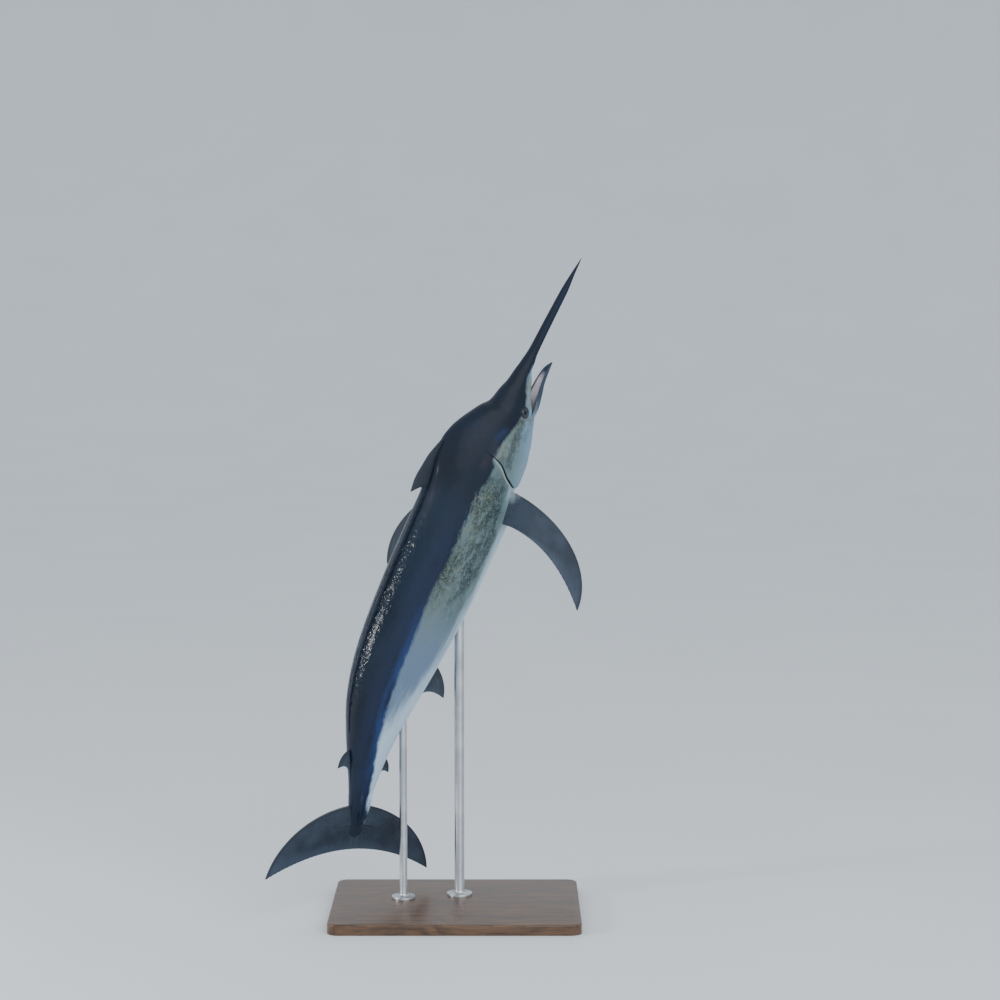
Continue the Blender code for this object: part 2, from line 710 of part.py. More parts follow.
def build_rod(name, station, angle, radius, sides=20):
    """A rod with a foot flange, trimmed where it meets the underside of the fish."""
    foot = place(station, *section(station, math.radians(angle)))
    x, y, top = foot.x, foot.y, foot.z + 0.30
    profile = ((radius + FLANGE_WIDTH, 0.0), (radius + FLANGE_WIDTH, FLANGE_THICK),
               (radius + 0.007, FLANGE_THICK + 0.005), (radius, FLANGE_THICK + 0.014), (radius, top - BASE_THICK))
    rings = []
    for reach, height in profile:
        z = BASE_THICK + GAP + height
        turns = [2 * math.pi * i / sides for i in range(sides)]
        rings.append([Vector((x + reach * math.cos(a), y + reach * math.sin(a), z)) for a in turns])
    return cut(loft(name, rings, STAND_STEEL), CUTTER)


build_bill()
build_face(build_head())
build_trunk()
build_jaw()
for word, sign in (("right", 1), ("left", -1)):
    build_pelvic("pelvic_fin_" + word, sign)
    build_keel("keel_upper_" + word, sign, 0.42)
    build_keel("keel_lower_" + word, sign, -0.42)
build_pectoral("pectoral_fin_right", 1, 36, 0)
build_pectoral("pectoral_fin_left", -1, -35, 31)
build_first_dorsal()
falcate("dorsal_fin_second", 80.5, 5.5, 0.12, 48, 1, 0.012)
falcate("anal_fin_first", 61.0, 12.5, 0.29, 44, -1, 0.016, rays=10, rows=6)
falcate("anal_fin_second", 81.5, 5.0, 0.11, 48, -1, 0.012)
build_tail_lobe("tail_fin_upper", 1)
build_tail_lobe("tail_fin_lower", -1)
build_base()
build_rod("stand_rod_front", 52.0, 171, 0.028)
build_rod("stand_rod_rear", 75.0, 158, 0.022)
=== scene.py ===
"""A leaping black marlin as a still, life-size model on a wooden display base."""

import math

import bmesh
import bpy
import numpy as np
from mathutils import Euler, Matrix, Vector


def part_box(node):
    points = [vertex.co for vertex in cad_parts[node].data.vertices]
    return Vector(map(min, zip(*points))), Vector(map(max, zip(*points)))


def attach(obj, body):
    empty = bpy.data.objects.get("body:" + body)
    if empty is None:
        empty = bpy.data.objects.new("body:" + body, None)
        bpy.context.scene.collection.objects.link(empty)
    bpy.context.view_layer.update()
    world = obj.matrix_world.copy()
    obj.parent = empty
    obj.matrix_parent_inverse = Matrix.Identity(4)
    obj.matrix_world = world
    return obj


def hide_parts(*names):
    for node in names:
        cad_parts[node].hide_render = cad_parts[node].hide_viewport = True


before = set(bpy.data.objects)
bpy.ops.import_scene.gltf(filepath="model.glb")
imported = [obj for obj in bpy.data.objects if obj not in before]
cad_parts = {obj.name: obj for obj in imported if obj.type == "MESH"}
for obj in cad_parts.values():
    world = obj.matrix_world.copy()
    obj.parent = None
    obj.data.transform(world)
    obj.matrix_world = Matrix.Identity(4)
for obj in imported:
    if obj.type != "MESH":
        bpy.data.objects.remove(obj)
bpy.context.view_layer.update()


# The view of the leap: the lens looks slightly down from thirteen metres off, and keeps the fish
# where the photograph has it. The whole stand shows below it.
VIEW_FROM, VIEW_DOWN = (0.25, -13.0, 3.54), 5.25
LENS_PIXELS, FRAME_PIXELS = 2338.0, 1000.0
SENSOR_WIDTH, SIGHT_REACH = 36.0, 200.0

lens = bpy.data.cameras.new("view")
lens.sensor_width = SENSOR_WIDTH
lens.lens = SENSOR_WIDTH * LENS_PIXELS / FRAME_PIXELS
lens.clip_end = SIGHT_REACH
camera = bpy.data.objects.new("view", lens)
camera.location = VIEW_FROM
camera.rotation_euler = Euler((math.radians(90 - VIEW_DOWN), 0.0, 0.0))
bpy.context.scene.collection.objects.link(camera)
bpy.context.scene.camera = camera


# The studio: a pale floor that curves up far away into a low wall all round, an even pale sky, a small
# warm light low on the left and a very broad soft one in front.
FLOOR_FLAT, FLOOR_REACH, WALL_HIGH = 24.0, 44.0, 11.0
FLOOR_TURNS, FLOOR_STEPS = 96, 24
FLOOR_TONE, FLOOR_CLOUDING, FLOOR_CLOUD_SCALE, FLOOR_ROUGHNESS = (0.74, 0.76, 0.78), 0.04, 0.7, 0.75
SKY_TONE, SKY_STRENGTH = (0.84, 0.92, 1.0), 1.0

# Each light's name, place, aim, width, power and tone
LIGHTS = (
    ("sun_side", (-7.6, -2.8, 2.5), (-0.3, 0.0, 1.6), 0.8, 300.0, (1.0, 0.97, 0.93)),
    ("broad_front", (4.5, -9.0, 6.5), (0.1, 0.0, 1.9), 10.4, 770.0, (0.96, 0.98, 1.0)),
)


def feed(tree, made, inputs):
    """Gives a shader node the values or links of its inputs."""
    for name, value in dict(inputs).items():
        if isinstance(value, bpy.types.NodeSocket):
            tree.links.new(value, made.inputs[name])
        else:
            made.inputs[name].default_value = value


def node(tree, kind, inputs=(), **settings):
    """A shader node with its settings and the values or links of its inputs."""
    made = tree.nodes.new(kind)
    for name, value in settings.items():
        setattr(made, name, value)
    feed(tree, made, inputs)
    return made


def new_material(name):
    """A node material and its Principled shader."""
    material = bpy.data.materials.new(name)
    material.use_nodes = True
    return material, material.node_tree, material.node_tree.nodes["Principled BSDF"]


def object_place(tree):
    """The place on the object as texture coordinates."""
    return node(tree, "ShaderNodeTexCoord").outputs["Object"]


def noise(tree, vector, scale, detail=3.0, stretch=(1.0, 1.0, 1.0), roughness=0.5):
    """A cloud value about 0.5 from stretched coordinates."""
    moved = node(tree, "ShaderNodeVectorMath", {0: vector, 1: stretch}, operation="MULTIPLY")
    made = node(tree, "ShaderNodeTexNoise", {"Vector": moved.outputs[0], "Scale": scale, "Detail": detail,
                                             "Roughness": roughness})
    return made.outputs["Fac"]


def mix_colour(tree, factor, first, second):
    """A colour mixed from two colours or colour sockets."""
    tones = [tone if isinstance(tone, bpy.types.NodeSocket) else (*tone, 1.0) for tone in (first, second)]
    return node(tree, "ShaderNodeMix", {0: factor, 6: tones[0], 7: tones[1]}, data_type="RGBA").outputs[2]


def bridge(work, first, second):
    """Joins two rings of points with a band of faces."""
    for i in range(len(first)):
        j = (i + 1) % len(first)
        work.faces.new((first[i], first[j], second[j], second[i]))


def fan(work, ring):
    """Closes a ring of points with faces round a new point in its middle."""
    middle = work.verts.new(sum((vert.co for vert in ring), Vector()) / len(ring))
    for i, vert in enumerate(ring):
        work.faces.new((vert, ring[(i + 1) % len(ring)], middle))
    return middle


def add_turned(work, profile, turns, x=0.0, y=0.0, solid=True):
    """Turns (radius, height) pairs about the upright through x, y, and returns the last ring."""
    angles = np.linspace(0, 2 * math.pi, turns, endpoint=False)
    rings = [[work.verts.new((x + radius * math.cos(a), y + radius * math.sin(a), height)) for a in angles]
             for radius, height in profile]
    for first, second in zip(rings, rings[1:]):
        bridge(work, first, second)
    if solid:
        work.faces.new(rings[0][::-1])
        work.faces.new(rings[-1])
    return rings[-1]


def link_piece(work, name):
    """A finished mesh object from a bmesh."""
    mesh = bpy.data.meshes.new(name)
    work.to_mesh(mesh)
    work.free()
    mesh.shade_smooth()
    piece = bpy.data.objects.new(name, mesh)
    bpy.context.scene.collection.objects.link(piece)
    return piece


def soft_light(name, place, aim, width, power, tone):
    """A square soft light that faces a point."""
    data = bpy.data.lights.new(name, "AREA")
    data.size = width
    data.energy = power
    data.color = tone
    lamp = bpy.data.objects.new(name, data)
    lamp.location = place
    lamp.rotation_euler = (Vector(aim) - Vector(place)).to_track_quat("-Z", "Y").to_euler()
    bpy.context.scene.collection.objects.link(lamp)


floor_work = bmesh.new()
floor_curve = [(FLOOR_FLAT + (FLOOR_REACH - FLOOR_FLAT) * math.sin(turn), WALL_HIGH * (1 - math.cos(turn)))
               for turn in np.linspace(math.pi / 2, 0.0, FLOOR_STEPS + 1)]
fan(floor_work, add_turned(floor_work, floor_curve, FLOOR_TURNS, solid=False))
floor = link_piece(floor_work, "floor")
material, tree, shader = new_material("pale_floor")
cloud = noise(tree, object_place(tree), FLOOR_CLOUD_SCALE, 4.0)
shades = [[c * (1 + side * FLOOR_CLOUDING) for c in FLOOR_TONE] for side in (-1, 1)]
feed(tree, shader, {"Base Color": mix_colour(tree, cloud, *shades), "Roughness": FLOOR_ROUGHNESS})
floor.data.materials.append(material)

for light in LIGHTS:
    soft_light(*light)
sky = bpy.data.worlds.new("sky")
sky.use_nodes = True
feed(sky.node_tree, sky.node_tree.nodes["Background"], {"Color": (*SKY_TONE, 1), "Strength": SKY_STRENGTH})
bpy.context.scene.world = sky


# The fish's own frame: stations run back from the tip of the lower jaw in per cent of the length to
# the fork of the tail. Side is to the fish's right and rise towards its back, both in metres. The
# lean, the bend and the roll of the leap then set it in the world.
FORK_LENGTH = 3.0
LEAN = (
    (-20, 26.9), (-1, 26.9), (4, 24.2), (51, 24.1), (60, 23.2), (66, 20.5), (73, 16.0), (84, 10.5),
    (112, 8.0),
)
ROLL = ((-20, 34.0), (25, 34.0), (45, 36.0), (65, 40.0), (112, 42.0))
JAW_TIP = (0.435, 0.0, 3.165)
BACK = (
    (-19.6, 0.04), (-16.2, 0.48), (-12.7, 0.80), (-6.4, 1.0), (-0.7, 1.10), (2.0, 1.5), (4.3, 2.05),
    (6.5, 2.5), (8.2, 3.2), (11.0, 4.05), (12.6, 5.7), (14.4, 7.15), (16.3, 8.5), (18.5, 9.65), (21.1, 10.3),
    (24, 10.4), (28, 9.8), (33, 9.25), (44, 9.25), (53, 9.1), (60, 8.8), (66, 8.2), (72, 7.2), (78, 5.5),
    (84, 3.8), (89, 2.6), (94, 2.0), (98, 2.1),
)
BELLY = (
    (-19.6, 0.04), (-16.2, 0.18), (-12.7, 0.48), (-6.4, 0.50), (-0.7, 0.62), (3.0, 0.75), (4.6, 1.75),
    (7.2, 3.1), (9.0, 4.4), (11.0, 6.05), (13.0, 6.75), (16.6, 7.8), (19.4, 8.2), (22.5, 8.0), (25.0, 8.0),
    (28.0, 9.1), (32, 9.7), (44, 9.75), (53, 9.4), (60, 8.9), (66, 8.1), (72, 6.7), (78, 5.0), (84, 3.4),
    (89, 2.35), (94, 2.0), (98, 2.1),
)
FLANK = (
    (-19.6, 0.05), (-16.2, 0.38), (-12.7, 0.68), (-6.4, 0.85), (-0.7, 1.0), (4.3, 1.55), (8.2, 2.3),
    (11.0, 3.0), (14.4, 3.9), (18.5, 4.95), (24.6, 5.85), (31, 6.25), (42, 6.3), (53, 6.1), (62, 5.6),
    (70, 4.7), (78, 3.6), (84, 2.7), (89, 1.95), (93, 1.3), (96.5, 0.5), (98, 0.5),
)
FULLNESS = ((-20, 2.0), (14, 2.0), (24, 2.1), (34, 2.3), (66, 2.3), (84, 2.1), (98, 2.0))
NAPE_PINCH, NAPE_REACH, UNDER_PINCH = 0.12, (8, 16, 24, 40), 0.03
AXIS_FROM, AXIS_TO, AXIS_STEP = -20.0, 116.0, 0.05


def share(value):
    """Metres for a share of the fork length."""
    return value * FORK_LENGTH / 100.0


def through(keys, scale=1.0):
    """A smooth curve through the keys that never swings past them, for numbers and arrays."""
    xs = np.array([k[0] for k in keys], float)
    ys = np.array([k[1] for k in keys], float) * scale
    steps = np.diff(xs)
    slopes = np.diff(ys) / steps
    tangents = np.zeros_like(ys)
    for i in range(1, len(xs) - 1):
        if slopes[i - 1] * slopes[i] > 0.0:
            a = 2 * steps[i] + steps[i - 1]
            b = steps[i] + 2 * steps[i - 1]
            tangents[i] = (a + b) / (a / slopes[i - 1] + b / slopes[i])
    tangents[0], tangents[-1] = slopes[0], slopes[-1]

    def value(x):
        x = np.clip(x, xs[0], xs[-1])
        i = np.clip(np.searchsorted(xs, x, side="right") - 1, 0, len(steps) - 1)
        t = (x - xs[i]) / steps[i]
        start = ((2 * t - 3) * t * t + 1) * ys[i] + ((t - 2) * t + 1) * t * steps[i] * tangents[i]
        return start + (3 - 2 * t) * t * t * ys[i + 1] + (t - 1) * t * t * steps[i] * tangents[i + 1]

    return value


def ease(t):
    """A soft step from 0 to 1."""
    t = np.clip(t, 0.0, 1.0)
    return t * t * (3.0 - 2.0 * t)


def hump(x, start, full, fade, end):
    """A soft rise from start to full, and a soft fall from fade to end."""
    return ease((x - start) / (full - start)) * ease((end - x) / (end - fade))


def bell(x, width):
    """1 at nought, dying away to both sides."""
    return np.exp(-((x / width) ** 2))


lean_at, roll_at = through(LEAN, math.pi / 180), through(ROLL, math.pi / 180)
back_at, belly_at, flank_at = [through(keys, FORK_LENGTH / 100) for keys in (BACK, BELLY, FLANK)]
fullness_at = through(FULLNESS)
axis_steps = np.arange(AXIS_FROM, AXIS_TO, AXIS_STEP)
axis_lean = lean_at(axis_steps + AXIS_STEP / 2)
axis_stations = axis_steps + AXIS_STEP
axis_x = -np.cumsum(np.sin(axis_lean)) * share(AXIS_STEP)
axis_z = -np.cumsum(np.cos(axis_lean)) * share(AXIS_STEP)
axis_x += JAW_TIP[0] - np.interp(0.0, axis_stations, axis_x)
axis_z += JAW_TIP[2] - np.interp(0.0, axis_stations, axis_z)


def frame_at(station):
    """The point of the axis, the fish's right and the way to its back at stations."""
    lean, roll = lean_at(station), roll_at(station)
    level = np.zeros_like(lean)
    along, up = [np.interp(station, axis_stations, line) for line in (axis_x, axis_z)]
    base = np.stack([along, level, up], axis=-1)
    upright = np.stack([-np.cos(lean), level, np.sin(lean)], axis=-1)
    near = np.array((0.0, -1.0, 0.0))
    c, s = np.cos(roll)[..., None], np.sin(roll)[..., None]
    return base, near * c - upright * s, upright * c + near * s


def place(station, side, rise):
    """World points for stations, sides and rises of like shape."""
    station, side, rise = np.broadcast_arrays(np.asarray(station, float), side, rise)
    base, right, dorsal = frame_at(station)
    return base + right * side[..., None] + dorsal * rise[..., None]


def section(station, angle, swell=0.0):
    """Side and rise of the skin at an angle from the ridge of the back, swollen outwards."""
    station, angle = np.broadcast_arrays(np.asarray(station, float), angle)
    c, s = np.cos(angle), np.sin(angle)
    power = 2.0 / fullness_at(station)
    half = flank_at(station)
    height = np.where(c >= 0, back_at(station), belly_at(station))
    narrow = 1 - np.where(c >= 0, NAPE_PINCH * hump(station, *NAPE_REACH), UNDER_PINCH) * c * c
    side = half * np.sign(s) * np.abs(s) ** power * narrow
    rise = height * np.sign(c) * np.abs(c) ** power
    out_side = np.sign(s) * np.abs(s) ** (2 - power) / half
    out_rise = np.sign(c) * np.abs(c) ** (2 - power) / height
    size = np.hypot(out_side, out_rise)
    return side + out_side / size * swell, rise + out_rise / size * swell


# The skin: one closed coat over the bill, head, lower jaw, trunk, tail stalk and its keels. It is
# made as rings of points, parted at the mouth into the upper jaw and the lower, with a real slit
# behind the gill cover, lips, sockets and nostrils drawn into the same surface.
AROUND = 240
LIP_INDEX = AROUND * 15 // 40
LIP_DEGREES = LIP_INDEX * 360.0 / AROUND
MOUTH_SEGMENTS = AROUND - 2 * LIP_INDEX
BILL_TIP, BILL_SHOULDER, BILL_BASE, MOUTH_CORNER = -19.55, -16.0, -0.7, 11.0
GILL_END, STALK_FROM, PINCH_FROM, TAIL_END = 27.0, 84.0, 95.6, 98.6
TIP_RINGS, BILL_RINGS, UPPER_RINGS, LOWER_RINGS = 22, 60, 78, 70
CHEEK_RINGS, SHOULDER_RINGS, TRUNK_RINGS, STALK_RINGS = 84, 26, 170, 95
GILL_MARGIN = ((0, 19.6), (55, 19.6), (83, 20.4), (109, 23.1), (132, 24.2), (156, 22.6), (170, 21.0),
               (180, 20.6))
GILL_FLARE, FLARE_RUN, COVER_FROM, COVER_TO, SLIT_SPAN = 0.012, 5.0, 68, 88, 0.72
PREOPERCLE_AHEAD, PREOPERCLE_SWEEP, PREOPERCLE_STEP, PREOPERCLE_GROOVE = 3.3, 2.4, 0.0022, 0.0016
PREOPERCLE_SLOPE, PREOPERCLE_WIDE, PREOPERCLE_SPAN = (-3.2, 0.0, -0.4, 0.0), 0.30, (76, 102, 148, 172)
PREOPERCLE_BEND, PREOPERCLE_CURVE = 105, 55
CREASE_SLANT, CREASE_RUN, CREASE_HIGH = 4.0, 3.4, 0.0045
CREASE_ROLL, CREASE_ROLL_WIDE, CREASE_GROOVE_WIDE, CREASE_FADE = 3.4, 2.6, 1.9, 0.6
THROAT_FROM, THROAT_FOLD, THROAT_PITCH = 146, 0.0016, 4.2
THROAT_FADE, THROAT_START, THROAT_RUN, THROAT_END = 12, 12.5, 2.0, 1.2
LIP_SIZE, GULLET_DEPTH, GULLET_FROM, MOUTH_VAULT, MOUTH_FLOOR = 0.006, 2.6, 6.0, 0.55, 0.35
JAW_JOINS = 7.5
JAW_RIM = ((0, -4.75), (1.0, -4.4), (4.7, -4.0), (8.6, -4.12), (11.0, -4.28))
JAW_KEEL = ((0, -4.9), (1.0, -4.95), (4.5, -5.2), (6.4, -5.65), (8.3, -5.95), (11.0, -6.05))
JAW_HALF = ((0, 0.10), (1.0, 0.40), (4.7, 0.95), (8.6, 1.65), (11.0, 2.12))
EYE_STATION, EYE_RISE, EYE_DEPTH, EYE_RADIUS, EYE_FLATNESS = 10.7, -0.060, 0.014, 0.036, 0.58
SOCKET_RADIUS, SOCKET_EDGE, SOCKET_DEPTH = 0.0275, 0.0055, 0.013
ORBIT_RADIUS, ORBIT_EDGE, RIM_RADIUS, RIM_WIDTH, RIM_HIGH = 0.040, 0.013, 0.0325, 0.0060, 0.0024
FACE_REACH, EYE_REACH, NOSE_REACH = 0.12, 0.062, 0.038
NOSTRILS = ((9.15, -0.040, 0.0052), (8.78, -0.038, 0.0038))
KEEL_FROM, KEEL_TO, KEEL_RISE, KEEL_HIGH, KEEL_WIDE = 88.0, 95.6, 0.42, 0.019, 0.0052
KEEL_GROWTH, KEEL_FADE, KEEL_DROP = 2.4, 2.0, 0.3

# The line between the dark back and the pale side: station and angle from the ridge of the back
DARK_LINE = (
    (-20, 200), (-1, 198), (0.8, 172), (1.8, 125), (3.0, 96), (4.5, 88), (6.5, 99), (8, 107), (9.5, 107),
    (12, 100), (15, 89), (18, 81), (21, 77), (26, 75), (34, 75), (42, 74), (50, 73), (60, 74), (70, 77),
    (84, 87), (92, 108), (98, 150),
)

# The rings that roll over the gill cover's edge into the slit and out again: how far behind the edge,
# how proud of the body, the painted shade in the slit (pale on the girdle below nought) and whether the ring
# is still part of the head
GILL_ROLL = (
    (0.05, 0.75, 0.0, True), (-0.02, 0.35, 0.3, True), (-0.30, 0.10, 0.9, True), (-0.70, -0.20, 1.0, True),
    (-0.45, -0.60, 1.0, False), (-0.05, -0.50, 1.0, False), (0.14, -0.26, 0.8, False),
    (0.27, -0.02, 0.0, False), (0.42, 0.05, -0.6, False), (SLIT_SPAN, 0.02, -0.3, False),
)

ANGLES = np.linspace(0.0, 2 * math.pi, AROUND, endpoint=False)
DEGREES = np.degrees(np.minimum(ANGLES, 2 * math.pi - ANGLES))
margin = through(GILL_MARGIN)(DEGREES)
cover = ease((DEGREES - COVER_FROM) / (COVER_TO - COVER_FROM))
crease_step = CREASE_SLANT * 100.0 / 180.0
crease_start = LIP_DEGREES / 180.0 - crease_step * MOUTH_CORNER / 100.0


def flare(station):
    """How far the gill cover stands proud of the body at each angle, rising to its free edge."""
    return GILL_FLARE * cover * ease((station - margin + FLARE_RUN) / FLARE_RUN)


def preopercle(station):
    """The shallow groove that curves down the cheek ahead of the gill cover."""
    bend = PREOPERCLE_SWEEP * ease((DEGREES - PREOPERCLE_BEND) / PREOPERCLE_CURVE)
    behind = station - margin + PREOPERCLE_AHEAD + bend
    step = PREOPERCLE_STEP * hump(behind, *PREOPERCLE_SLOPE)
    return (step - PREOPERCLE_GROOVE * bell(behind, PREOPERCLE_WIDE)) * hump(DEGREES, *PREOPERCLE_SPAN)


def mouth_crease(station):
    """The crease of skin that runs back from the corner of the mouth below the eye."""
    off = DEGREES - 180.0 * (crease_start + crease_step * station / 100.0)
    run = hump(station - MOUTH_CORNER, 0.0, CREASE_FADE, CREASE_FADE, CREASE_RUN)
    return CREASE_HIGH * run * (bell(off + CREASE_ROLL, CREASE_ROLL_WIDE) - bell(off, CREASE_GROOVE_WIDE))


def throat_folds(station):
    """Low folds of the gill membrane under the throat."""
    along = ease((station - THROAT_START) / THROAT_RUN) * ease((margin - station) / THROAT_END)
    where = ease((DEGREES - THROAT_FROM) / THROAT_FADE) * along
    return THROAT_FOLD * where * np.cos((DEGREES - THROAT_FROM) * math.pi / THROAT_PITCH)


def tail_keels(station):
    """Two ridges on each side of the tail stalk."""
    run = hump(station, KEEL_FROM, KEEL_FROM + KEEL_GROWTH, KEEL_TO - KEEL_FADE, KEEL_TO)
    rise = section(station, ANGLES)[1]
    lower = KEEL_DROP * (station - KEEL_FROM) / (KEEL_TO - KEEL_FROM)
    level = KEEL_RISE * back_at(station) * (1 - lower)
    return KEEL_HIGH * run * bell(np.abs(rise) - level, KEEL_WIDE)


skin_rings = []


def add_ring(station, swell=0.0, shade=0.0, on_head=False, thin=1.0):
    """One ring of the cheek or trunk, with the painted shade in the gill slit: dark above 0, pale below."""
    station = np.broadcast_to(np.asarray(station, float), ANGLES.shape)
    side, rise = section(station, ANGLES, swell)
    points = place(station, side * thin, rise * (0.7 + 0.3 * thin))
    skin_rings.append((station, points, shade * cover, float(on_head)))


for t in np.linspace(0.0, 1.0, CHEEK_RINGS):
    station = MOUTH_CORNER + (margin - MOUTH_CORNER) * t
    relief = flare(station) + preopercle(station) + throat_folds(station) + mouth_crease(station)
    add_ring(station, relief, on_head=True)
for behind, proud, shade, on_head in GILL_ROLL:
    add_ring(margin + behind * cover, GILL_FLARE * cover * proud, shade, on_head)
for t in np.linspace(0.0, 1.0, SHOULDER_RINGS)[1:]:
    add_ring(margin + SLIT_SPAN * cover + (GILL_END - margin - SLIT_SPAN * cover) * t)
for station in np.linspace(GILL_END, STALK_FROM, TRUNK_RINGS)[1:]:
    add_ring(station)
for station in np.linspace(STALK_FROM, TAIL_END, STALK_RINGS)[1:]:
    thin = 1 - 0.97 * ease((station - PINCH_FROM) / (TAIL_END - PINCH_FROM))
    add_ring(station, tail_keels(station), thin=thin)


def mouth_line(station):
    """Shares across the mouth from the right lip to the left, and the stations of points inside it."""
    v = np.linspace(0.0, 1.0, MOUTH_SEGMENTS + 1)
    sunk = GULLET_DEPTH * ease((station - GULLET_FROM) / (MOUTH_CORNER - GULLET_FROM))
    return v, station + sunk * np.sin(math.pi * v) ** 0.6


def upper_jaw_ring(station):
    """Skin down to the lip, then the roof of the mouth across to the other lip."""
    lip = LIP_SIZE * hump(station, BILL_BASE, BILL_BASE + 3, MOUTH_CORNER - 1.5, MOUTH_CORNER)
    side, rise = section(station, ANGLES, lip * bell(DEGREES - LIP_DEGREES, 7.0))
    outer = place(station, side, rise)
    v, deep = mouth_line(station)
    lip_side, lip_rise = side[LIP_INDEX], rise[LIP_INDEX]
    arch = MOUTH_VAULT * min(lip_side * 0.6, belly_at(station) * 0.5) * ease((MOUTH_CORNER - station) / 1.6)
    vault = arch * np.sin(math.pi * v) ** 0.8 + lip * (1 - np.abs(2 * v - 1) ** 6)
    opened = ease((station - BILL_BASE) / 5)
    below = slice(LIP_INDEX, AROUND - LIP_INDEX + 1)
    roof_side = side[below] * (1 - opened) + lip_side * (1 - 2 * v) * opened
    roof_rise = rise[below] * (1 - opened) + (lip_rise + vault) * opened
    inner = place(deep, roof_side, roof_rise)
    return np.concatenate([outer[: LIP_INDEX + 1], inner[1:-1], outer[AROUND - LIP_INDEX:]])


def lower_jaw_ring(station):
    """The jaw's outer skin from rim to rim round its keel, then the floor of the mouth."""
    blend = ease((station - JAW_JOINS) / (MOUTH_CORNER - JAW_JOINS))
    lip_side, lip_rise = section(MOUTH_CORNER, ANGLES[LIP_INDEX])
    half, rim, keel = [through(keys, FORK_LENGTH / 100)(station) for keys in (JAW_HALF, JAW_RIM, JAW_KEEL)]
    half = half * (1 - blend) + lip_side * blend
    rim = rim * (1 - blend) + lip_rise * blend
    lip = LIP_SIZE * hump(station, 0.0, 2.0, MOUTH_CORNER - 1.5, MOUTH_CORNER)
    turn = np.linspace(0.0, math.pi, MOUTH_SEGMENTS + 1)
    edge = lip * bell(np.minimum(turn, math.pi - turn), 0.22)
    side = (half + edge) * np.cos(turn)
    rise = rim + edge + (keel - rim) * np.sin(turn)
    under = ANGLES[LIP_INDEX] + turn / math.pi * (2 * math.pi - 2 * ANGLES[LIP_INDEX])
    full_side, full_rise = section(MOUTH_CORNER, under)
    outer = place(station, side * (1 - blend) + full_side * blend, rise * (1 - blend) + full_rise * blend)
    v, deep = mouth_line(station)
    dip = MOUTH_FLOOR * half * ease((MOUTH_CORNER - station) / 1.6)
    sink = -dip * np.sin(math.pi * v) ** 0.7 + lip * (1 - (1 - np.abs(2 * v - 1) ** 6) * 1.3)
    inner = place(deep, half * (1 - 2 * v), rim + sink)
    return np.concatenate([outer, inner[1:-1][::-1]])


def build_skin():
    work = bmesh.new()
    mark = work.verts.layers.float_vector.new("mark")
    slit, _, head = [work.verts.layers.float.new(name) for name in ("slit", "socket", "head")]

    def add_points(points, stations, degrees, mouth, shade=None, on_head=1.0):
        made = []
        for index, point in enumerate(points):
            vert = work.verts.new(point)
            station = stations[index] if np.ndim(stations) else stations
            vert[mark] = (station / 100.0, degrees[index] / 180.0, mouth[index])
            vert[slit] = 0.0 if shade is None else shade[index]
            vert[head] = on_head
            made.append(vert)
        return made

    def join(rings):
        for first, second in zip(rings, rings[1:]):
            bridge(work, first, second)

    def close(ring):
        middle = fan(work, ring)
        middle[mark] = ring[0][mark]

    closed = np.zeros(AROUND)
    trunk = [add_points(points, stations, DEGREES, closed, shade, on_head)
             for stations, points, shade, on_head in skin_rings]
    join(trunk)
    close(trunk[-1])

    tip_stations = np.linspace(BILL_TIP, BILL_SHOULDER, TIP_RINGS)
    bill_stations = np.concatenate([tip_stations, np.linspace(BILL_SHOULDER, BILL_BASE, BILL_RINGS)[1:]])
    bill = [add_points(place(s, *section(s, ANGLES)), s, DEGREES, closed) for s in bill_stations]
    join(bill)
    close(bill[0])

    inside = np.ones(MOUTH_SEGMENTS - 1)
    lining = np.concatenate([np.zeros(LIP_INDEX + 1), inside, np.zeros(LIP_INDEX)])
    uppers = [bill[-1]]
    for station in np.linspace(BILL_BASE, MOUTH_CORNER, UPPER_RINGS)[1:]:
        opened = float(ease((station - BILL_BASE - 0.5) / 2.5))
        uppers.append(add_points(upper_jaw_ring(station), station, DEGREES, lining * opened))
    join(uppers)

    jaw_degrees = np.concatenate([DEGREES[LIP_INDEX: AROUND - LIP_INDEX + 1], inside * 180])
    across = np.linspace(0.0, 1.0, MOUTH_SEGMENTS + 1)[1:-1]
    jaw_mouth = np.concatenate([np.zeros(MOUTH_SEGMENTS + 1), hump(across, 0.0, 0.10, 0.58, 1.0)])
    jaws = [add_points(lower_jaw_ring(s), s, jaw_degrees, jaw_mouth)
            for s in np.linspace(0.0, MOUTH_CORNER, LOWER_RINGS)]
    join(jaws)
    close(jaws[0])

    bmesh.ops.remove_doubles(work, verts=work.verts, dist=0.00008)
    bmesh.ops.triangulate(work, faces=[f for f in work.faces if len(f.verts) > 4])
    bmesh.ops.recalc_face_normals(work, faces=work.faces)
    return work


def skin_point(station, rise, sign):
    """A point of the side of the head below its middle."""
    power = fullness_at(station)
    side = flank_at(station) * (1 - (abs(rise) / belly_at(station)) ** power) ** (1 / power)
    return Vector(place(station, sign * side, rise))


def socket_frame(sign):
    """Middle of the eyeball and the direction in which the eye looks, square to the skin over it."""
    along = skin_point(EYE_STATION + 0.8, EYE_RISE, sign) - skin_point(EYE_STATION - 0.8, EYE_RISE, sign)
    upward = skin_point(EYE_STATION, EYE_RISE + 0.02, sign) - skin_point(EYE_STATION, EYE_RISE - 0.02, sign)
    look = (upward.cross(along) * sign).normalized()
    return skin_point(EYE_STATION, EYE_RISE, sign) - look * EYE_DEPTH, look


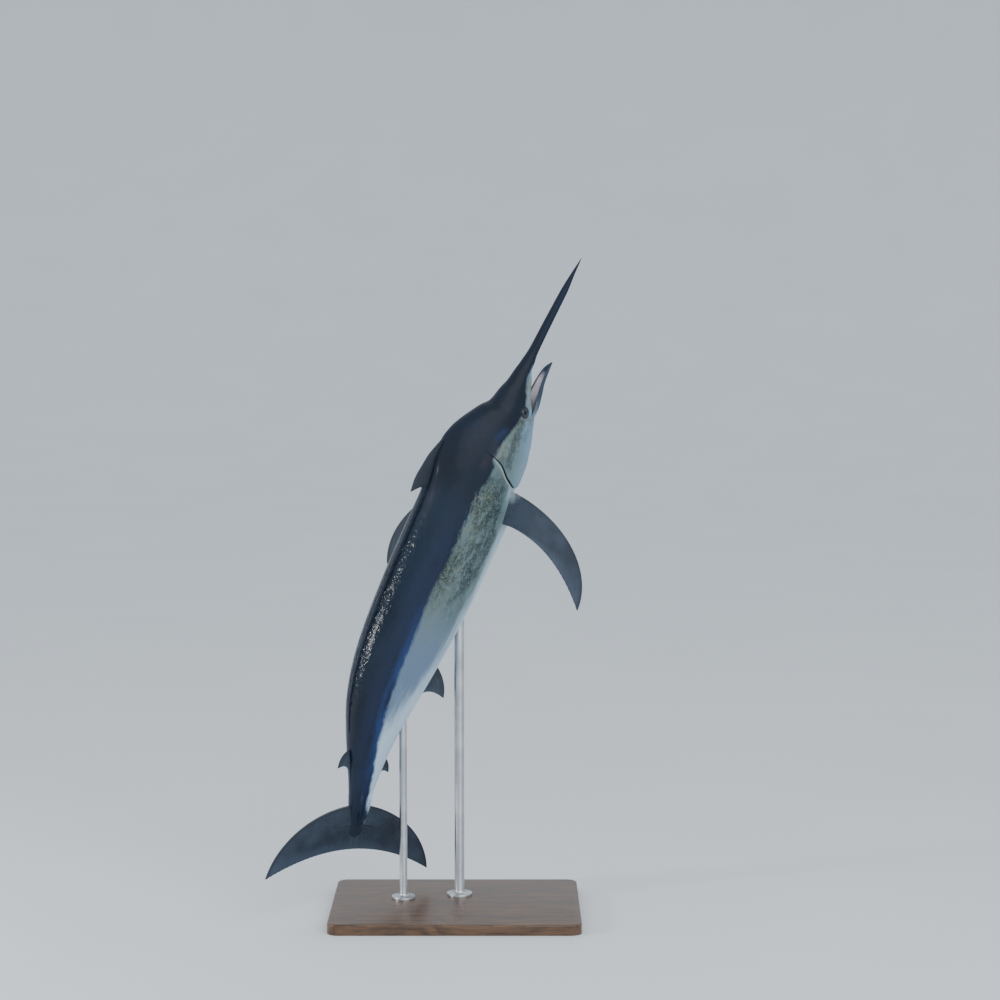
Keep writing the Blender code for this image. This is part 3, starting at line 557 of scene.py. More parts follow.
def refine_face(work):
    """Splits the skin round the eyes and nostrils finely enough for rims, sockets and pits."""
    for sign in (1, -1):
        middle, look = socket_frame(sign)
        nose = skin_point(*NOSTRILS[0][:2], sign)
        faces = [f for f in work.faces if (f.calc_center_median() - middle).length < EYE_REACH
                 or (f.calc_center_median() - nose).length < NOSE_REACH]
        edges = {e for f in faces for e in f.edges}
        bmesh.ops.subdivide_edges(work, edges=list(edges), cuts=2, use_grid_fill=True)
    bmesh.ops.triangulate(work, faces=[f for f in work.faces if len(f.verts) > 4])


def shape_face(work):
    """Presses in the eye sockets with their soft rims, and the two nostrils ahead of each eye, and marks the
    dark skin round each eye with painted shade in the sockets and nostril pits.
    """
    mark = work.verts.layers.float_vector["mark"]
    socket = work.verts.layers.float["socket"]
    for sign in (1, -1):
        middle, look = socket_frame(sign)
        pits = [(skin_point(station, rise, sign), radius) for station, rise, radius in NOSTRILS]
        for vert in work.verts:
            away = vert.co - middle
            if vert[mark].z > 0.5 or away.length > FACE_REACH or away.dot(look) < -0.03:
                continue
            reach = (away - look * away.dot(look)).length
            shift = look * float(RIM_HIGH * bell(reach - RIM_RADIUS, RIM_WIDTH)
                                 - SOCKET_DEPTH * ease((SOCKET_RADIUS - reach) / SOCKET_EDGE))
            # The socket layer marks the dark skin round the eye, with painted shade in the socket.
            vert[socket] = float(ease((ORBIT_RADIUS - reach) / ORBIT_EDGE))
            for spot, radius in pits:
                near = (vert.co - spot).length / radius
                if near < 2.4:
                    lip = 0.26 * float(bell(near - 1.25, 0.35))
                    shift += look * radius * (lip - 0.95 * math.exp(-((near / 0.74) ** 4)))
                    # Painted shade in the nostril pit.
                    vert[socket] = max(vert[socket], float(ease((1.0 - near) / 0.4)))
            vert.co += shift


skin_work = build_skin()
refine_face(skin_work)
shape_face(skin_work)
skin = link_piece(skin_work, "marlin_skin")


# The girth of the skin is measured over these stations, in steps round one side
ARC_FROM, ARC_TO, ARC_PER_STATION, ARC_STEPS, PAST_BELLY = -20.0, 98.0, 2, 60, 0.004


def store_lay(piece):
    """Keeps each point's place in the straightened fish, and its distances from the skin's two borders."""
    mesh = piece.data
    count = len(mesh.vertices)
    mark, points = np.zeros(count * 3, np.float32), np.zeros(count * 3, np.float32)
    mesh.attributes["mark"].data.foreach_get("vector", mark)
    mesh.vertices.foreach_get("co", points)
    station, turn = mark[0::3] * 100.0, mark[1::3] * math.pi
    base, right, dorsal = frame_at(station)
    away = points.reshape(-1, 3) - base
    lay = np.stack([share(station), (away * right).sum(axis=1), (away * dorsal).sum(axis=1)], axis=1)

    rows = np.linspace(ARC_FROM, ARC_TO, int(ARC_TO - ARC_FROM) * ARC_PER_STATION + 1)
    side, rise = section(rows[:, None], np.linspace(0.0, math.pi, ARC_STEPS + 1)[None, :])
    arc = np.cumsum(np.hypot(np.diff(side, prepend=side[:, :1]), np.diff(rise, prepend=rise[:, :1])), axis=1)
    row = np.clip((station - ARC_FROM) * ARC_PER_STATION, 0, len(rows) - 1.001)
    i = row.astype(int)
    part = row - i

    def girth(degrees):
        """Metres round the skin from the ridge of the back to an angle."""
        column = np.clip(degrees / 180.0 * ARC_STEPS, 0, ARC_STEPS - 0.001)
        j = column.astype(int)
        near, far = [arc[r, j] + (arc[r, j + 1] - arc[r, j]) * (column - j) for r in (i, i + 1)]
        return near * (1 - part) + far * part

    line = through(DARK_LINE)(station)
    here = girth(np.degrees(turn))
    below = here - girth(line) - np.maximum(line - 180.0, 0.0) * PAST_BELLY
    marking = np.stack([below, girth(np.full_like(line, 180.0)) - here, station / 100.0], axis=1)
    for name, values in (("lay", lay), ("marking", marking)):
        stored = mesh.attributes.new(name, "FLOAT_VECTOR", "POINT")
        stored.data.foreach_set("vector", values.astype(np.float32).ravel())


store_lay(skin)


# The finish of the skin: slate blue-black above with an indigo and cobalt edge, mottled green, silver and
# gold on the side, white below with painted shade under the head, cream and slate on the cheek, pink inside
# the mouth, and painted shade in the gill slit, eye sockets and nostrils. Fine narrow scales lie along the
# body under a thin wet gloss.
NAPE_TONE, BACK_TONE, BACK_DEEP = (0.0045, 0.0140, 0.0380), (0.0087, 0.0176, 0.0330), (0.0048, 0.0095, 0.0190)
INDIGO, COBALT, BRUISE_TONE = (0.0115, 0.0195, 0.0480), (0.0185, 0.0450, 0.1520), (0.036, 0.026, 0.032)
SIDE_TONE, SIDE_GREEN, SIDE_GOLD = (0.122, 0.180, 0.190), (0.024, 0.042, 0.044), (0.170, 0.165, 0.100)
# The throat tone is the pale underside darkened and blued with painted shade under the head.
TAIL_SIDE, BELLY_TONE, THROAT_PALE_AND_SHADE = (0.125, 0.185, 0.275), (0.440, 0.590, 0.710), (0.162, 0.265, 0.355)
CHEEK_TONE, CHEEK_DARK, STALK_END = (0.165, 0.185, 0.145), (0.026, 0.042, 0.050), (0.0170, 0.0270, 0.0440)
JAW_TONE, GUM_TONE, GULLET_TONE = (0.030, 0.046, 0.078), (0.620, 0.550, 0.580), (0.130, 0.045, 0.045)
# The slit tone is painted shade inside the gill slit.
SLIT_SHADE_TONE, GIRDLE_TONE, ORBIT_SKIN_AND_PIT_SHADE = (0.034, 0.038, 0.047), (0.300, 0.360, 0.350), (0.010, 0.017, 0.026)

# The clouds of noise on the straightened fish: fineness, detail, stretch along the body, roughness
SKIN_CLOUDS = {
    "waves": (4.5, 4.0, 0.5, 0.6), "frays": (70.0, 3.0, 0.35, 0.65), "dapple": (3.0, 5.0, 0.6, 0.6),
    "silk": (9.0, 4.0, 0.25, 0.6), "mottle": (34.0, 6.0, 0.58, 0.82), "flecks": (120.0, 4.0, 0.55, 0.7),
    "drifts": (9.0, 3.0, 0.5, 0.5), "grains": (75.0, 5.0, 0.7, 0.8), "streaks": (30.0, 4.0, 0.12, 0.6),
    "blotch": (15.0, 3.0, 1.0, 0.5), "smudges": (34.0, 6.0, 0.7, 0.68), "swells": (16.0, 4.0, 0.4, 0.5),
    "wrinkles": (50.0, 2.0, 0.6, 0.5),
}

# The markings, one over the other: tone, strength and where each shows. Two limits rise, or fall where
# the first is the higher, four rise and fall, and None takes the value as it is. Stations are shares of
# the length from the jaw's tip; border, below, belly, armpit and smear are metres over the skin; turn
# goes from 0 at the ridge of the back to 1 under the belly; the rest are masks and clouds.
SILKY = (0.20, 0.55)
HEAD, TRUNK = (0.4, 0.6), (0.6, 0.4)
BACK_MARKINGS = (
    (BACK_TONE, 1.0, {"station": (0.14, 0.30)}),
    (BACK_DEEP, 1.0, {"dapple": (0.7, 0.35)}),
    (INDIGO, 1.0, {"border": (-0.17, -0.06, 0.0, 0.03), "station": (0.26, 0.40), "silk": SILKY}),
    (COBALT, 1.0, {"border": (-0.065, -0.020, 0.0, 0.03), "station": (0.46, 0.66, 0.76, 0.93),
                   "silk": SILKY}),
    (BRUISE_TONE, 0.75, {"station": (0.195, 0.208, 0.215, 0.24), "below": (-0.06, -0.03, -0.01, 0.02),
                         "silk": SILKY}),
    (COBALT, 0.34, {"station": (0.138, 0.156, 0.159, 0.182), "border": (-0.075, -0.040, -0.034, 0.0),
                    "silk": SILKY}),
)
SIDE_MARKINGS = (
    (TAIL_SIDE, 1.0, {"station": (0.46, 0.62)}),
    (SIDE_GREEN, 1.0, {"station": (0.200, 0.262, 0.43, 0.56), "armpit": (0.16, 0.23, 0.8, 0.9), "head": TRUNK,
                       "drifts": (0.20, 0.52), "crowd": (0.37, 0.60), "flecks": (0.30, 0.52)}),
    (SIDE_GOLD, 0.8, {"border": (0.0, 0.02, 0.07, 0.18), "station": (0.23, 0.28, 0.50, 0.66),
                      "grains": (0.49, 0.62)}),
)
CHEEK_MARKINGS = (
    (CHEEK_TONE, 0.85, {"head": HEAD, "station": (0.01, 0.07), "below": (-0.01, 0.01, 0.05, 0.13),
                        "blotch": (0.36, 0.58)}),
    (CHEEK_DARK, 0.5, {"head": HEAD, "station": (0.10, 0.12, 0.21, 0.23), "below": (0.005, 0.04, 0.10, 0.17),
                       "smudges": (0.40, 0.62)}),
    (CHEEK_DARK, 0.8, {"head": HEAD, "station": (0.112, 0.126, 0.208, 0.222), "smear": (0.038, 0.008),
                       "mottle": (0.36, 0.58)}),
)
OUTER_MARKINGS = (
    (STALK_END, 1.0, {"station": (0.925, 0.960)}),
    (JAW_TONE, 1.0, {"turn": (0.735, 0.752), "station": (-0.004, 0.0), "jaw_end": (0.118, 0.070),
                     "dapple": (0.1, 0.45)}),
    # Dark skin round the eyes, with painted shade in the sockets and nostril pits.
    (ORBIT_SKIN_AND_PIT_SHADE, 0.85, {"socket": (0.1, 0.9)}),
)
MOUTH_MARKINGS = (
    (GULLET_TONE, 1.0, {"station": (0.060, 0.115)}),
    (JAW_TONE, 0.5, {"blotch": (0.52, 0.75)}),
    (JAW_TONE, 1.0, {"station": (-0.01, 0.0, 0.018, 0.042), "turn": (0.9, 0.99)}),
)
EDGE_MARKINGS = (
    (GULLET_TONE, 0.6, {"head": HEAD, "station": (0.104, 0.110, 0.116, 0.132), "crease": (0.008, 0.001),
                        "outside": None}),
    # Painted shade inside the gill slit.
    (SLIT_SHADE_TONE, 1.0, {"slit": (0.0, 1.0)}),
    (GIRDLE_TONE, 1.0, {"slit": (-0.05, -0.6), "border": (-0.010, 0.016)}),
)

# The lines that the markings go by: how far the border waves and frays, more so at the shoulder; where
# it drops behind the gills; the pale skin round the root of the pectoral fin; where the mottles crowd;
# how the white climbs the side; the slanting smear behind the eye; and the ragged end of the dark jaw.
WAVE_SWING, FRAY_SWING, FRAY_SHOULDER, FRAY_SPAN = 0.060, 0.030, 0.055, (0.23, 0.27, 0.33, 0.44)
SHOULDER_DROP, SHOULDER_SHOWN = 0.032, {"station": (0.205, 0.222, 0.243, 0.275), "head": TRUNK}
ARMPIT_RISE, ARMPIT_SPAN = 0.055, (0.24, 0.275, 0.315, 0.35)
CROWDING, CROWD_ABOVE, CROWD_BELOW = 0.075, (0.090, 0.015), (0.17, 0.23, 0.27, 0.36)
WHITE_REAR, WHITE_SPAN, WHITE_RISE, WHITE_STREAKS = 0.45, (0.50, 0.80), (0.32, 0.07), 0.8
SMEAR_SLANT, SMEAR_START, JAW_END_SWING = 1.2, 0.13, 0.05
EDGE_SOFT, WHITE_SOFT = (-0.010, 0.016), (0.20, 1.0)

# The gloss: how much rougher or smoother the skin is, and where; the least gloss is on the nape
ROUGH_BASE, ROUGH_SPREAD = 0.38, 0.22
GLOSS = (
    (-0.08, {"station": (0.28, 0.42)}),
    (0.20, {"turn": (0.30, 0.10), "station": (0.14, 0.20, 0.27, 0.34)}),
    (-0.24, {"turn": (0.22, 0.08), "station": (0.30, 0.42)}),
)
RIDGE_WRINKLES = {"turn": (0.22, 0.08), "station": (0.30, 0.42, 0.66, 0.80), "wrinkles": None}
SCALE_FINENESS, SCALE_STRETCH = 210.0, (0.22, 1.0, 1.0)
SCALE_HIGH, SWELL_HIGH, WRINKLE_HIGH = 0.0014, 0.004, 0.0078


def maths(tree, operation, first, second=0.0, third=0.0):
    """One number worked out from others."""
    return node(tree, "ShaderNodeMath", {0: first, 1: second, 2: third}, operation=operation).outputs[0]


def band(tree, value, limits):
    """0 to 1 by two limits, or up and down again by four."""
    if len(limits) == 4:
        return maths(tree, "MULTIPLY", band(tree, value, limits[:2]), band(tree, value, limits[:1:-1]))
    made = node(tree, "ShaderNodeMapRange", {"Value": value, "From Min": limits[0], "From Max": limits[1]},
                interpolation_type="SMOOTHSTEP")
    return made.outputs["Result"]


def swing(tree, cloud, amount, value):
    """A value pushed up and down by a cloud."""
    return maths(tree, "MULTIPLY_ADD", maths(tree, "SUBTRACT", cloud, 0.5), amount, value)


def shown(tree, fields, limits, strength=1.0):
    """How strongly something shows between its limits in several fields."""
    for name, span in limits.items():
        part = fields[name] if span is None else band(tree, fields[name], span)
        strength = maths(tree, "MULTIPLY", part, strength)
    return strength


def paint(tree, fields, colour, markings):
    """A colour with markings laid over it, one after the other."""
    for tone, strength, limits in markings:
        colour = mix_colour(tree, shown(tree, fields, limits, strength), colour, tone)
    return colour


def attribute(tree, name, output="Fac"):
    """What a layer of the mesh holds."""
    return node(tree, "ShaderNodeAttribute", attribute_name=name, attribute_type="GEOMETRY").outputs[output]


def parts(tree, name):
    """The three numbers of a layer of the mesh."""
    return node(tree, "ShaderNodeSeparateXYZ", {0: attribute(tree, name, "Vector")}).outputs


def remap(tree, value, low, high):
    """A cloud turned into a range of roughness."""
    return node(tree, "ShaderNodeMapRange", {"Value": value, "To Min": low, "To Max": high}).outputs["Result"]


def bump(tree, height, strength, distance, under=None):
    """Relief from a height, over another relief where there is one."""
    inputs = {"Height": height, "Strength": strength, "Distance": distance}
    if under:
        inputs["Normal"] = under
    return node(tree, "ShaderNodeBump", inputs).outputs[0]


def streak_group():
    """Fine narrow scales along the body: a height and a mask of streaks from the unrolled skin."""
    group = bpy.data.node_groups.new("scale_streaks", "ShaderNodeTree")
    face = group.interface
    face.new_socket("Lay", in_out="INPUT", socket_type="NodeSocketVector")
    face.new_socket("Fineness", in_out="INPUT", socket_type="NodeSocketFloat")
    face.new_socket("Height", in_out="OUTPUT", socket_type="NodeSocketFloat")
    face.new_socket("Mask", in_out="OUTPUT", socket_type="NodeSocketFloat")
    start = node(group, "NodeGroupInput")
    slim = node(group, "ShaderNodeVectorMath", {0: start.outputs["Lay"], 1: SCALE_STRETCH},
                operation="MULTIPLY")
    scaled = node(group, "ShaderNodeVectorMath", {0: slim.outputs[0], "Scale": start.outputs["Fineness"]},
                  operation="SCALE")
    cells = node(group, "ShaderNodeTexVoronoi", {"Vector": scaled.outputs[0], "Scale": 1.0}, feature="F1")
    grain = node(group, "ShaderNodeTexNoise", {"Vector": scaled.outputs[0], "Scale": 0.35, "Detail": 3.0})
    high = maths(group, "MULTIPLY", cells.outputs["Distance"], grain.outputs["Fac"])
    node(group, "NodeGroupOutput", {"Height": high, "Mask": grain.outputs["Fac"]})
    return group


def skin_fields(tree):
    """What the markings go by: places on the fish, distances over the skin, masks and clouds."""
    lay = attribute(tree, "lay", "Vector")
    fields = {name: noise(tree, lay, fineness, detail, (along, 1.0, 1.0), roughness)
              for name, (fineness, detail, along, roughness) in SKIN_CLOUDS.items()}
    below, belly, station = parts(tree, "marking")
    _, turn, mouth = parts(tree, "mark")
    fields.update(lay=lay, below=below, belly=belly, station=station, turn=turn, mouth=mouth,
                  **{name: attribute(tree, name) for name in ("head", "slit", "socket")})

    def slope(value, rate, start):
        return maths(tree, "MULTIPLY_ADD", value, rate, start)

    fray = slope(band(tree, station, FRAY_SPAN), FRAY_SHOULDER, FRAY_SWING)
    border = swing(tree, fields["frays"], fray, swing(tree, fields["waves"], WAVE_SWING, below))
    fields["border"] = border
    fields["edge"] = slope(shown(tree, fields, SHOULDER_SHOWN), -SHOULDER_DROP, border)
    armpit = slope(band(tree, station, ARMPIT_SPAN), -ARMPIT_RISE, belly)
    fields["armpit"] = armpit
    crowd = maths(tree, "ADD", band(tree, border, CROWD_ABOVE), band(tree, armpit, CROWD_BELOW))
    fields["crowd"] = slope(crowd, CROWDING, fields["mottle"])
    white = slope(band(tree, station, WHITE_SPAN), WHITE_REAR, band(tree, belly, WHITE_RISE))
    fields["white"] = swing(tree, fields["streaks"], WHITE_STREAKS, white)
    smear = slope(station, -SMEAR_SLANT, maths(tree, "ADD", below, SMEAR_START))
    fields["smear"] = maths(tree, "ABSOLUTE", smear)
    fields["jaw_end"] = swing(tree, fields["mottle"], JAW_END_SWING, station)
    crease = maths(tree, "SUBTRACT", slope(station, crease_step, crease_start), turn)
    fields["crease"] = maths(tree, "ABSOLUTE", crease)
    fields["outside"] = maths(tree, "SUBTRACT", 1.0, mouth)
    return fields


def skin_material():
    material, tree, shader = new_material("wet_marlin_skin")
    fields = skin_fields(tree)
    back = paint(tree, fields, NAPE_TONE, BACK_MARKINGS)
    side = paint(tree, fields, SIDE_TONE, SIDE_MARKINGS)
    # Under the head the pale underside takes the throat tone, with its painted shade.
    under = mix_colour(tree, band(tree, fields["head"], HEAD), BELLY_TONE, THROAT_PALE_AND_SHADE)
    side = mix_colour(tree, band(tree, fields["white"], WHITE_SOFT), side, under)
    side = paint(tree, fields, side, CHEEK_MARKINGS)
    colour = mix_colour(tree, band(tree, fields["edge"], EDGE_SOFT), back, side)
    colour = paint(tree, fields, colour, OUTER_MARKINGS)
    lining = paint(tree, fields, GUM_TONE, MOUTH_MARKINGS)
    colour = mix_colour(tree, fields["mouth"], colour, lining)
    colour = paint(tree, fields, colour, EDGE_MARKINGS)

    scales = node(tree, "ShaderNodeGroup", node_tree=streak_group())
    feed(tree, scales, {"Lay": fields["lay"], "Fineness": SCALE_FINENESS})
    rough = maths(tree, "MULTIPLY_ADD", scales.outputs["Mask"], ROUGH_SPREAD, ROUGH_BASE)
    for amount, limits in GLOSS:
        rough = maths(tree, "MULTIPLY_ADD", shown(tree, fields, limits), amount, rough)
    relief = bump(tree, scales.outputs["Height"], 0.5, SCALE_HIGH)
    relief = bump(tree, fields["swells"], 0.3, SWELL_HIGH, relief)
    relief = bump(tree, shown(tree, fields, RIDGE_WRINKLES), 1.0, WRINKLE_HIGH, relief)
    feed(tree, shader, {"Base Color": colour, "Roughness": rough, "Normal": relief,
                        "Specular IOR Level": 0.20, "Coat Weight": 0.06, "Coat Roughness": 0.15})
    return material


skin.data.materials.append(skin_material())
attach(skin, "root")
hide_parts("bill", "head", "lower_jaw", "trunk_front", "trunk_middle", "trunk_rear", "tail_stalk",
            "keel_upper_right", "keel_upper_left", "keel_lower_right", "keel_lower_left")


# The eyes: large dark balls with a silvery iris round a wide pupil, under a clear bulging front.
PUPIL_RADIUS, PUPIL_EDGE, IRIS_RADIUS, IRIS_EDGE, IRIS_GLOW = 0.0155, 0.0004, 0.0240, 0.004, 0.0028
IRIS_DARK, IRIS_LIGHT, IRIS_RING = (0.008, 0.012, 0.017), (0.026, 0.037, 0.046), (0.085, 0.095, 0.090)
PUPIL_TONE, EYE_BALL_TONE = (0.003, 0.005, 0.010), (0.010, 0.014, 0.020)
EYE_MARKINGS = (
    (IRIS_LIGHT, 1.0, {"spokes": (0.3, 0.7)}),
    (IRIS_RING, 0.65, {"reach": (PUPIL_RADIUS + IRIS_GLOW, PUPIL_RADIUS)}),
    (PUPIL_TONE, 1.0, {"reach": (PUPIL_RADIUS + PUPIL_EDGE, PUPIL_RADIUS - PUPIL_EDGE)}),
    (EYE_BALL_TONE, 1.0, {"reach": (IRIS_RADIUS - IRIS_EDGE, IRIS_RADIUS)}),
)
PUPIL_FRAY, SPOKE_STRETCH, EYE_ROUGHNESS = 0.0016, (30.0, 9.0, 0.0), (0.14, 0.24)
CORNEA_RADIUS, CORNEA_BULGE, CORNEA_SLOPE = 0.022, 0.0012, 0.012
EYE_RINGS, EYE_TURNS = 64, 80


def eye_material():
    material, tree, shader = new_material("glossy_eye")
    gaze = attribute(tree, "gaze", "Vector")
    reach = swing(tree, noise(tree, gaze, 260.0), PUPIL_FRAY, parts(tree, "gaze")[0])
    fields = {"reach": reach, "spokes": noise(tree, gaze, 5.0, 4.0, SPOKE_STRETCH)}
    feed(tree, shader, {"Base Color": paint(tree, fields, IRIS_DARK, EYE_MARKINGS),
                        "Roughness": remap(tree, fields["spokes"], *EYE_ROUGHNESS),
                        "Specular IOR Level": 0.25, "Coat Weight": 0.18, "Coat Roughness": 0.05})
    return material


eye_finish = eye_material()
for word, sign in (("right", 1), ("left", -1)):
    middle, look = socket_frame(sign)
    work = bmesh.new()
    bmesh.ops.create_uvsphere(work, u_segments=EYE_TURNS, v_segments=EYE_RINGS, radius=EYE_RADIUS)
    layer = work.verts.layers.float_vector.new("gaze")
    turned = Vector((0, 0, 1)).rotation_difference(look)
    for vert in work.verts:
        reach = math.hypot(vert.co.x, vert.co.y)
        turn = math.atan2(vert.co.y, vert.co.x)
        vert[layer] = (reach if vert.co.z > 0 else EYE_RADIUS, turn / math.pi, vert.co.z)
        vert.co.z *= EYE_FLATNESS
        if vert.co.z > 0:
            vert.co.z += CORNEA_BULGE * float(ease((CORNEA_RADIUS - reach) / CORNEA_SLOPE))
        vert.co = middle + turned @ vert.co
    eye = link_piece(work, "eyeball_" + word)
    eye.data.materials.append(eye_finish)
    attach(eye, "root")
    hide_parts("eye_" + word)


# The fins: stiff dark membranes over fine rays that run from the root to the edge. Each is a thin
# sheet with two faces, thicker at its root and leading edge, and its root is sunk in the skin.
FIN_DARK, FIN_LIGHT, FIN_DEEPEST = (0.0170, 0.0265, 0.0430), (0.0330, 0.0500, 0.0780), (0.0070, 0.0110, 0.0200)
# The ray tone darkens the leading ray, and gives the painted shade in the grooves between the rays.
RAY_DARK_AND_GROOVE_SHADE, FIN_EDGE, FIN_ROOT = (0.010, 0.014, 0.021), (0.060, 0.086, 0.125), (0.24, 0.30, 0.32)
FIN_MARKINGS = (
    (FIN_LIGHT, 1.0, {"clouds": (0.3, 0.7)}),
    # Painted shade in the grooves between the raised rays.
    (RAY_DARK_AND_GROOVE_SHADE, 0.35, {"ray_groove_shade": None}),
    (FIN_EDGE, 0.45, {"out": (0.70, 1.0)}),
    (RAY_DARK_AND_GROOVE_SHADE, 0.6, {"ray": (1.3, 0.15)}),
    (FIN_ROOT, 1.0, {"root": None, "patches": (0.25, 0.60)}),
    # The whole first dorsal fin is painted darker.
    (FIN_DEEPEST, 1.0, {"darkened": None}),
)
FINE_RAYS, FINE_HIGH, FIN_RELIEF, FIN_ROUGHNESS = 8, 0.08, 0.0007, (0.30, 0.5)
SUNK, RAY_HEIGHT, RAY_ROUND, PER_RAY, FRINGE = 0.02, 0.0008, 0.7, 6, 0.005
PALE_OUT, PALE_ACROSS = (0.088, 0.053), (0.42, 0.12)
SIDEWAYS = (0.0, 1.0, 0.0)


def fin_material():
    material, tree, shader = new_material("slate_fin")
    ray, out, root = parts(tree, "web")
    coords = object_place(tree)
    # The grooves between the raised rays, where the painted shade goes.
    ridge = maths(tree, "ABSOLUTE", maths(tree, "SINE", maths(tree, "MULTIPLY", ray, math.pi)))
    fields = {"ray": ray, "out": out, "root": root, "ray_groove_shade": maths(tree, "SUBTRACT", 1.0, ridge),
              "clouds": noise(tree, coords, 9.0, 4.0), "patches": noise(tree, coords, 30.0),
              "darkened": attribute(tree, "darkened")}
    fine = maths(tree, "SINE", maths(tree, "MULTIPLY", ray, math.pi * FINE_RAYS))
    grain = noise(tree, coords, 220.0, 3.0)
    relief = bump(tree, maths(tree, "MULTIPLY_ADD", fine, FINE_HIGH, grain), 0.4, FIN_RELIEF)
    feed(tree, shader, {"Base Color": paint(tree, fields, FIN_DARK, FIN_MARKINGS), "Normal": relief,
                        "Roughness": remap(tree, grain, *FIN_ROUGHNESS),
                        "Specular IOR Level": 0.40, "Coat Weight": 0.10, "Coat Roughness": 0.2})
    return material


fin_finish = fin_material()


def build_fin(name, slot_node, point, across, thick, rays, rows, root_pale=0.0, darkening=0.0):
    """A fin from point(u, v) in the fish's frame: u runs over the rays and v out along them."""
    columns = rays * PER_RAY
    u = np.linspace(0.0, 1.0, columns + 1)[:, None] * np.ones(rows + 1)
    v = np.linspace(0.0, 1.0, rows + 1)[None, :] * np.ones((columns + 1, 1))
    ridge = np.abs(np.sin(math.pi * rays * u)) ** RAY_ROUND
    middle = point(u, v * (1 - FRINGE * (1 - ridge) * ease((v - 0.8) / 0.2)))
    half = thick(u, v) + RAY_HEIGHT * ridge * (1 - 0.6 * v)
    pale = root_pale * ease((PALE_OUT[0] - v) / (PALE_OUT[0] - PALE_OUT[1]))
    pale = pale * ease((PALE_ACROSS[0] - u) / (PALE_ACROSS[0] - PALE_ACROSS[1]))
    work = bmesh.new()
    layer = work.verts.layers.float_vector.new("web")
    darkened = work.verts.layers.float.new("darkened")

    def add_sheet(sign):
        spots = middle + half[..., None] * sign * np.asarray(across, float)
        world = place(spots[..., 0] * 100 / FORK_LENGTH, spots[..., 1], spots[..., 2])
        sheet = [[work.verts.new(spot) for spot in column] for column in world]
        for i, j in np.ndindex(columns + 1, rows + 1):
            sheet[i][j][layer] = (u[i, j] * rays, v[i, j], pale[i, j])
            sheet[i][j][darkened] = darkening
        return sheet

    front, rear = add_sheet(1), add_sheet(-1)
    for i, j in np.ndindex(columns, rows):
        work.faces.new((front[i][j], front[i + 1][j], front[i + 1][j + 1], front[i][j + 1]))
        work.faces.new((rear[i][j], rear[i][j + 1], rear[i + 1][j + 1], rear[i + 1][j]))
    rim = [(i, 0) for i in range(columns)] + [(columns, j) for j in range(rows)]
    rim += [(i, rows) for i in range(columns, 0, -1)] + [(0, j) for j in range(rows, 0, -1)]
    for (i, j), (k, m) in zip(rim, rim[1:] + rim[:1]):
        work.faces.new((front[i][j], rear[i][j], rear[k][m], front[k][m]))
    bmesh.ops.remove_doubles(work, verts=work.verts, dist=0.00002)
    bmesh.ops.recalc_face_normals(work, faces=work.faces)
    piece = link_piece(work, name)
    piece.data.set_sharp_from_angle(angle=math.radians(60))
    piece.data.materials.append(fin_finish)
    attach(piece, "root")
    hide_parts(slot_node)


def at(station, side, rise):
    """Points in the fish's frame, with the station turned into metres."""
    station, side, rise = np.broadcast_arrays(np.asarray(station, float), side, rise)
    return np.stack([share(station), side, rise], axis=-1)


def blade(full, thin_edge=0.25, tip=0.3):
    """Half thickness: fullest near the root and the leading third, thin at the edges and the tip."""

    def half(u, v):
        across_fin = thin_edge + (1 - thin_edge) * np.sin(math.pi * np.clip(0.12 + 0.83 * u, 0, 1)) ** 0.6
        return full / 2 * across_fin * (1 - (1 - tip) * v)

    return half


# The first dorsal fin lies folded in its groove: a lobe over the nape, then a low ridge of rays.
DORSAL_FOOT = ((0, 20.6), (0.26, 28.3), (0.32, 30.0), (1, 77.0))
DORSAL_REACH = ((0, 20.9), (0.12, 25.9), (0.26, 32.2), (0.32, 30.7), (0.36, 33.2), (1, 77.6))
DORSAL_HEIGHT = ((0, 0.012), (0.12, 0.062), (0.20, 0.095), (0.26, 0.092), (0.32, 0.036), (0.36, 0.020),
                 (0.7, 0.016), (1, 0.006))
# How much darker the whole first dorsal fin is painted.
DORSAL_RAYS, DORSAL_ROWS, DORSAL_DARKENING = 44, 10, 0.7


def dorsal_point(u, v):
    foot, reach = through(DORSAL_FOOT)(u), through(DORSAL_REACH)(u)
    start = at(foot, 0.0, back_at(foot) - SUNK)
    end = at(reach, 0.0, back_at(reach) + through(DORSAL_HEIGHT)(u))
    return start + (end - start) * v[..., None]


build_fin("first_dorsal", "dorsal_fin_first", dorsal_point, SIDEWAYS, lambda u, v: 0.0055 - 0.0035 * v,
          DORSAL_RAYS, DORSAL_ROWS, darkening=DORSAL_DARKENING)


# The second dorsal and the two anal fins are small sickles, with long first rays that make the lobe.
# Each row holds its piece, its node, where it starts, its foot, height, slant, side, fullness and rays.
SICKLES = (
    ("second_dorsal", "dorsal_fin_second", 80.5, 5.5, 0.12, 48, 1, 0.012, 7, 16),
    ("first_anal", "anal_fin_first", 61.0, 12.5, 0.29, 44, -1, 0.016, 13, 22),
    ("second_anal", "anal_fin_second", 81.5, 5.0, 0.11, 48, -1, 0.012, 7, 16),
)
SICKLE_LOW, SICKLE_FALL, SICKLE_START = 0.018, 3.2, 0.55


def sickle(origin, chord, height, slant, up):
    surface = back_at if up > 0 else belly_at

    def point(u, v):
        foot = origin + chord * u
        length = SICKLE_LOW + height * (1 - u) ** SICKLE_FALL
        turn = math.radians(slant) * (SICKLE_START + (1 - SICKLE_START) * v)
        out = (length + SUNK) * v
        back = share(foot) + out * np.sin(turn)
        level = surface(foot) * (1 - v) + surface(back * 100 / FORK_LENGTH) * v
        return np.stack([back, np.zeros_like(back), up * (level - SUNK + out * np.cos(turn))], axis=-1)

    return point


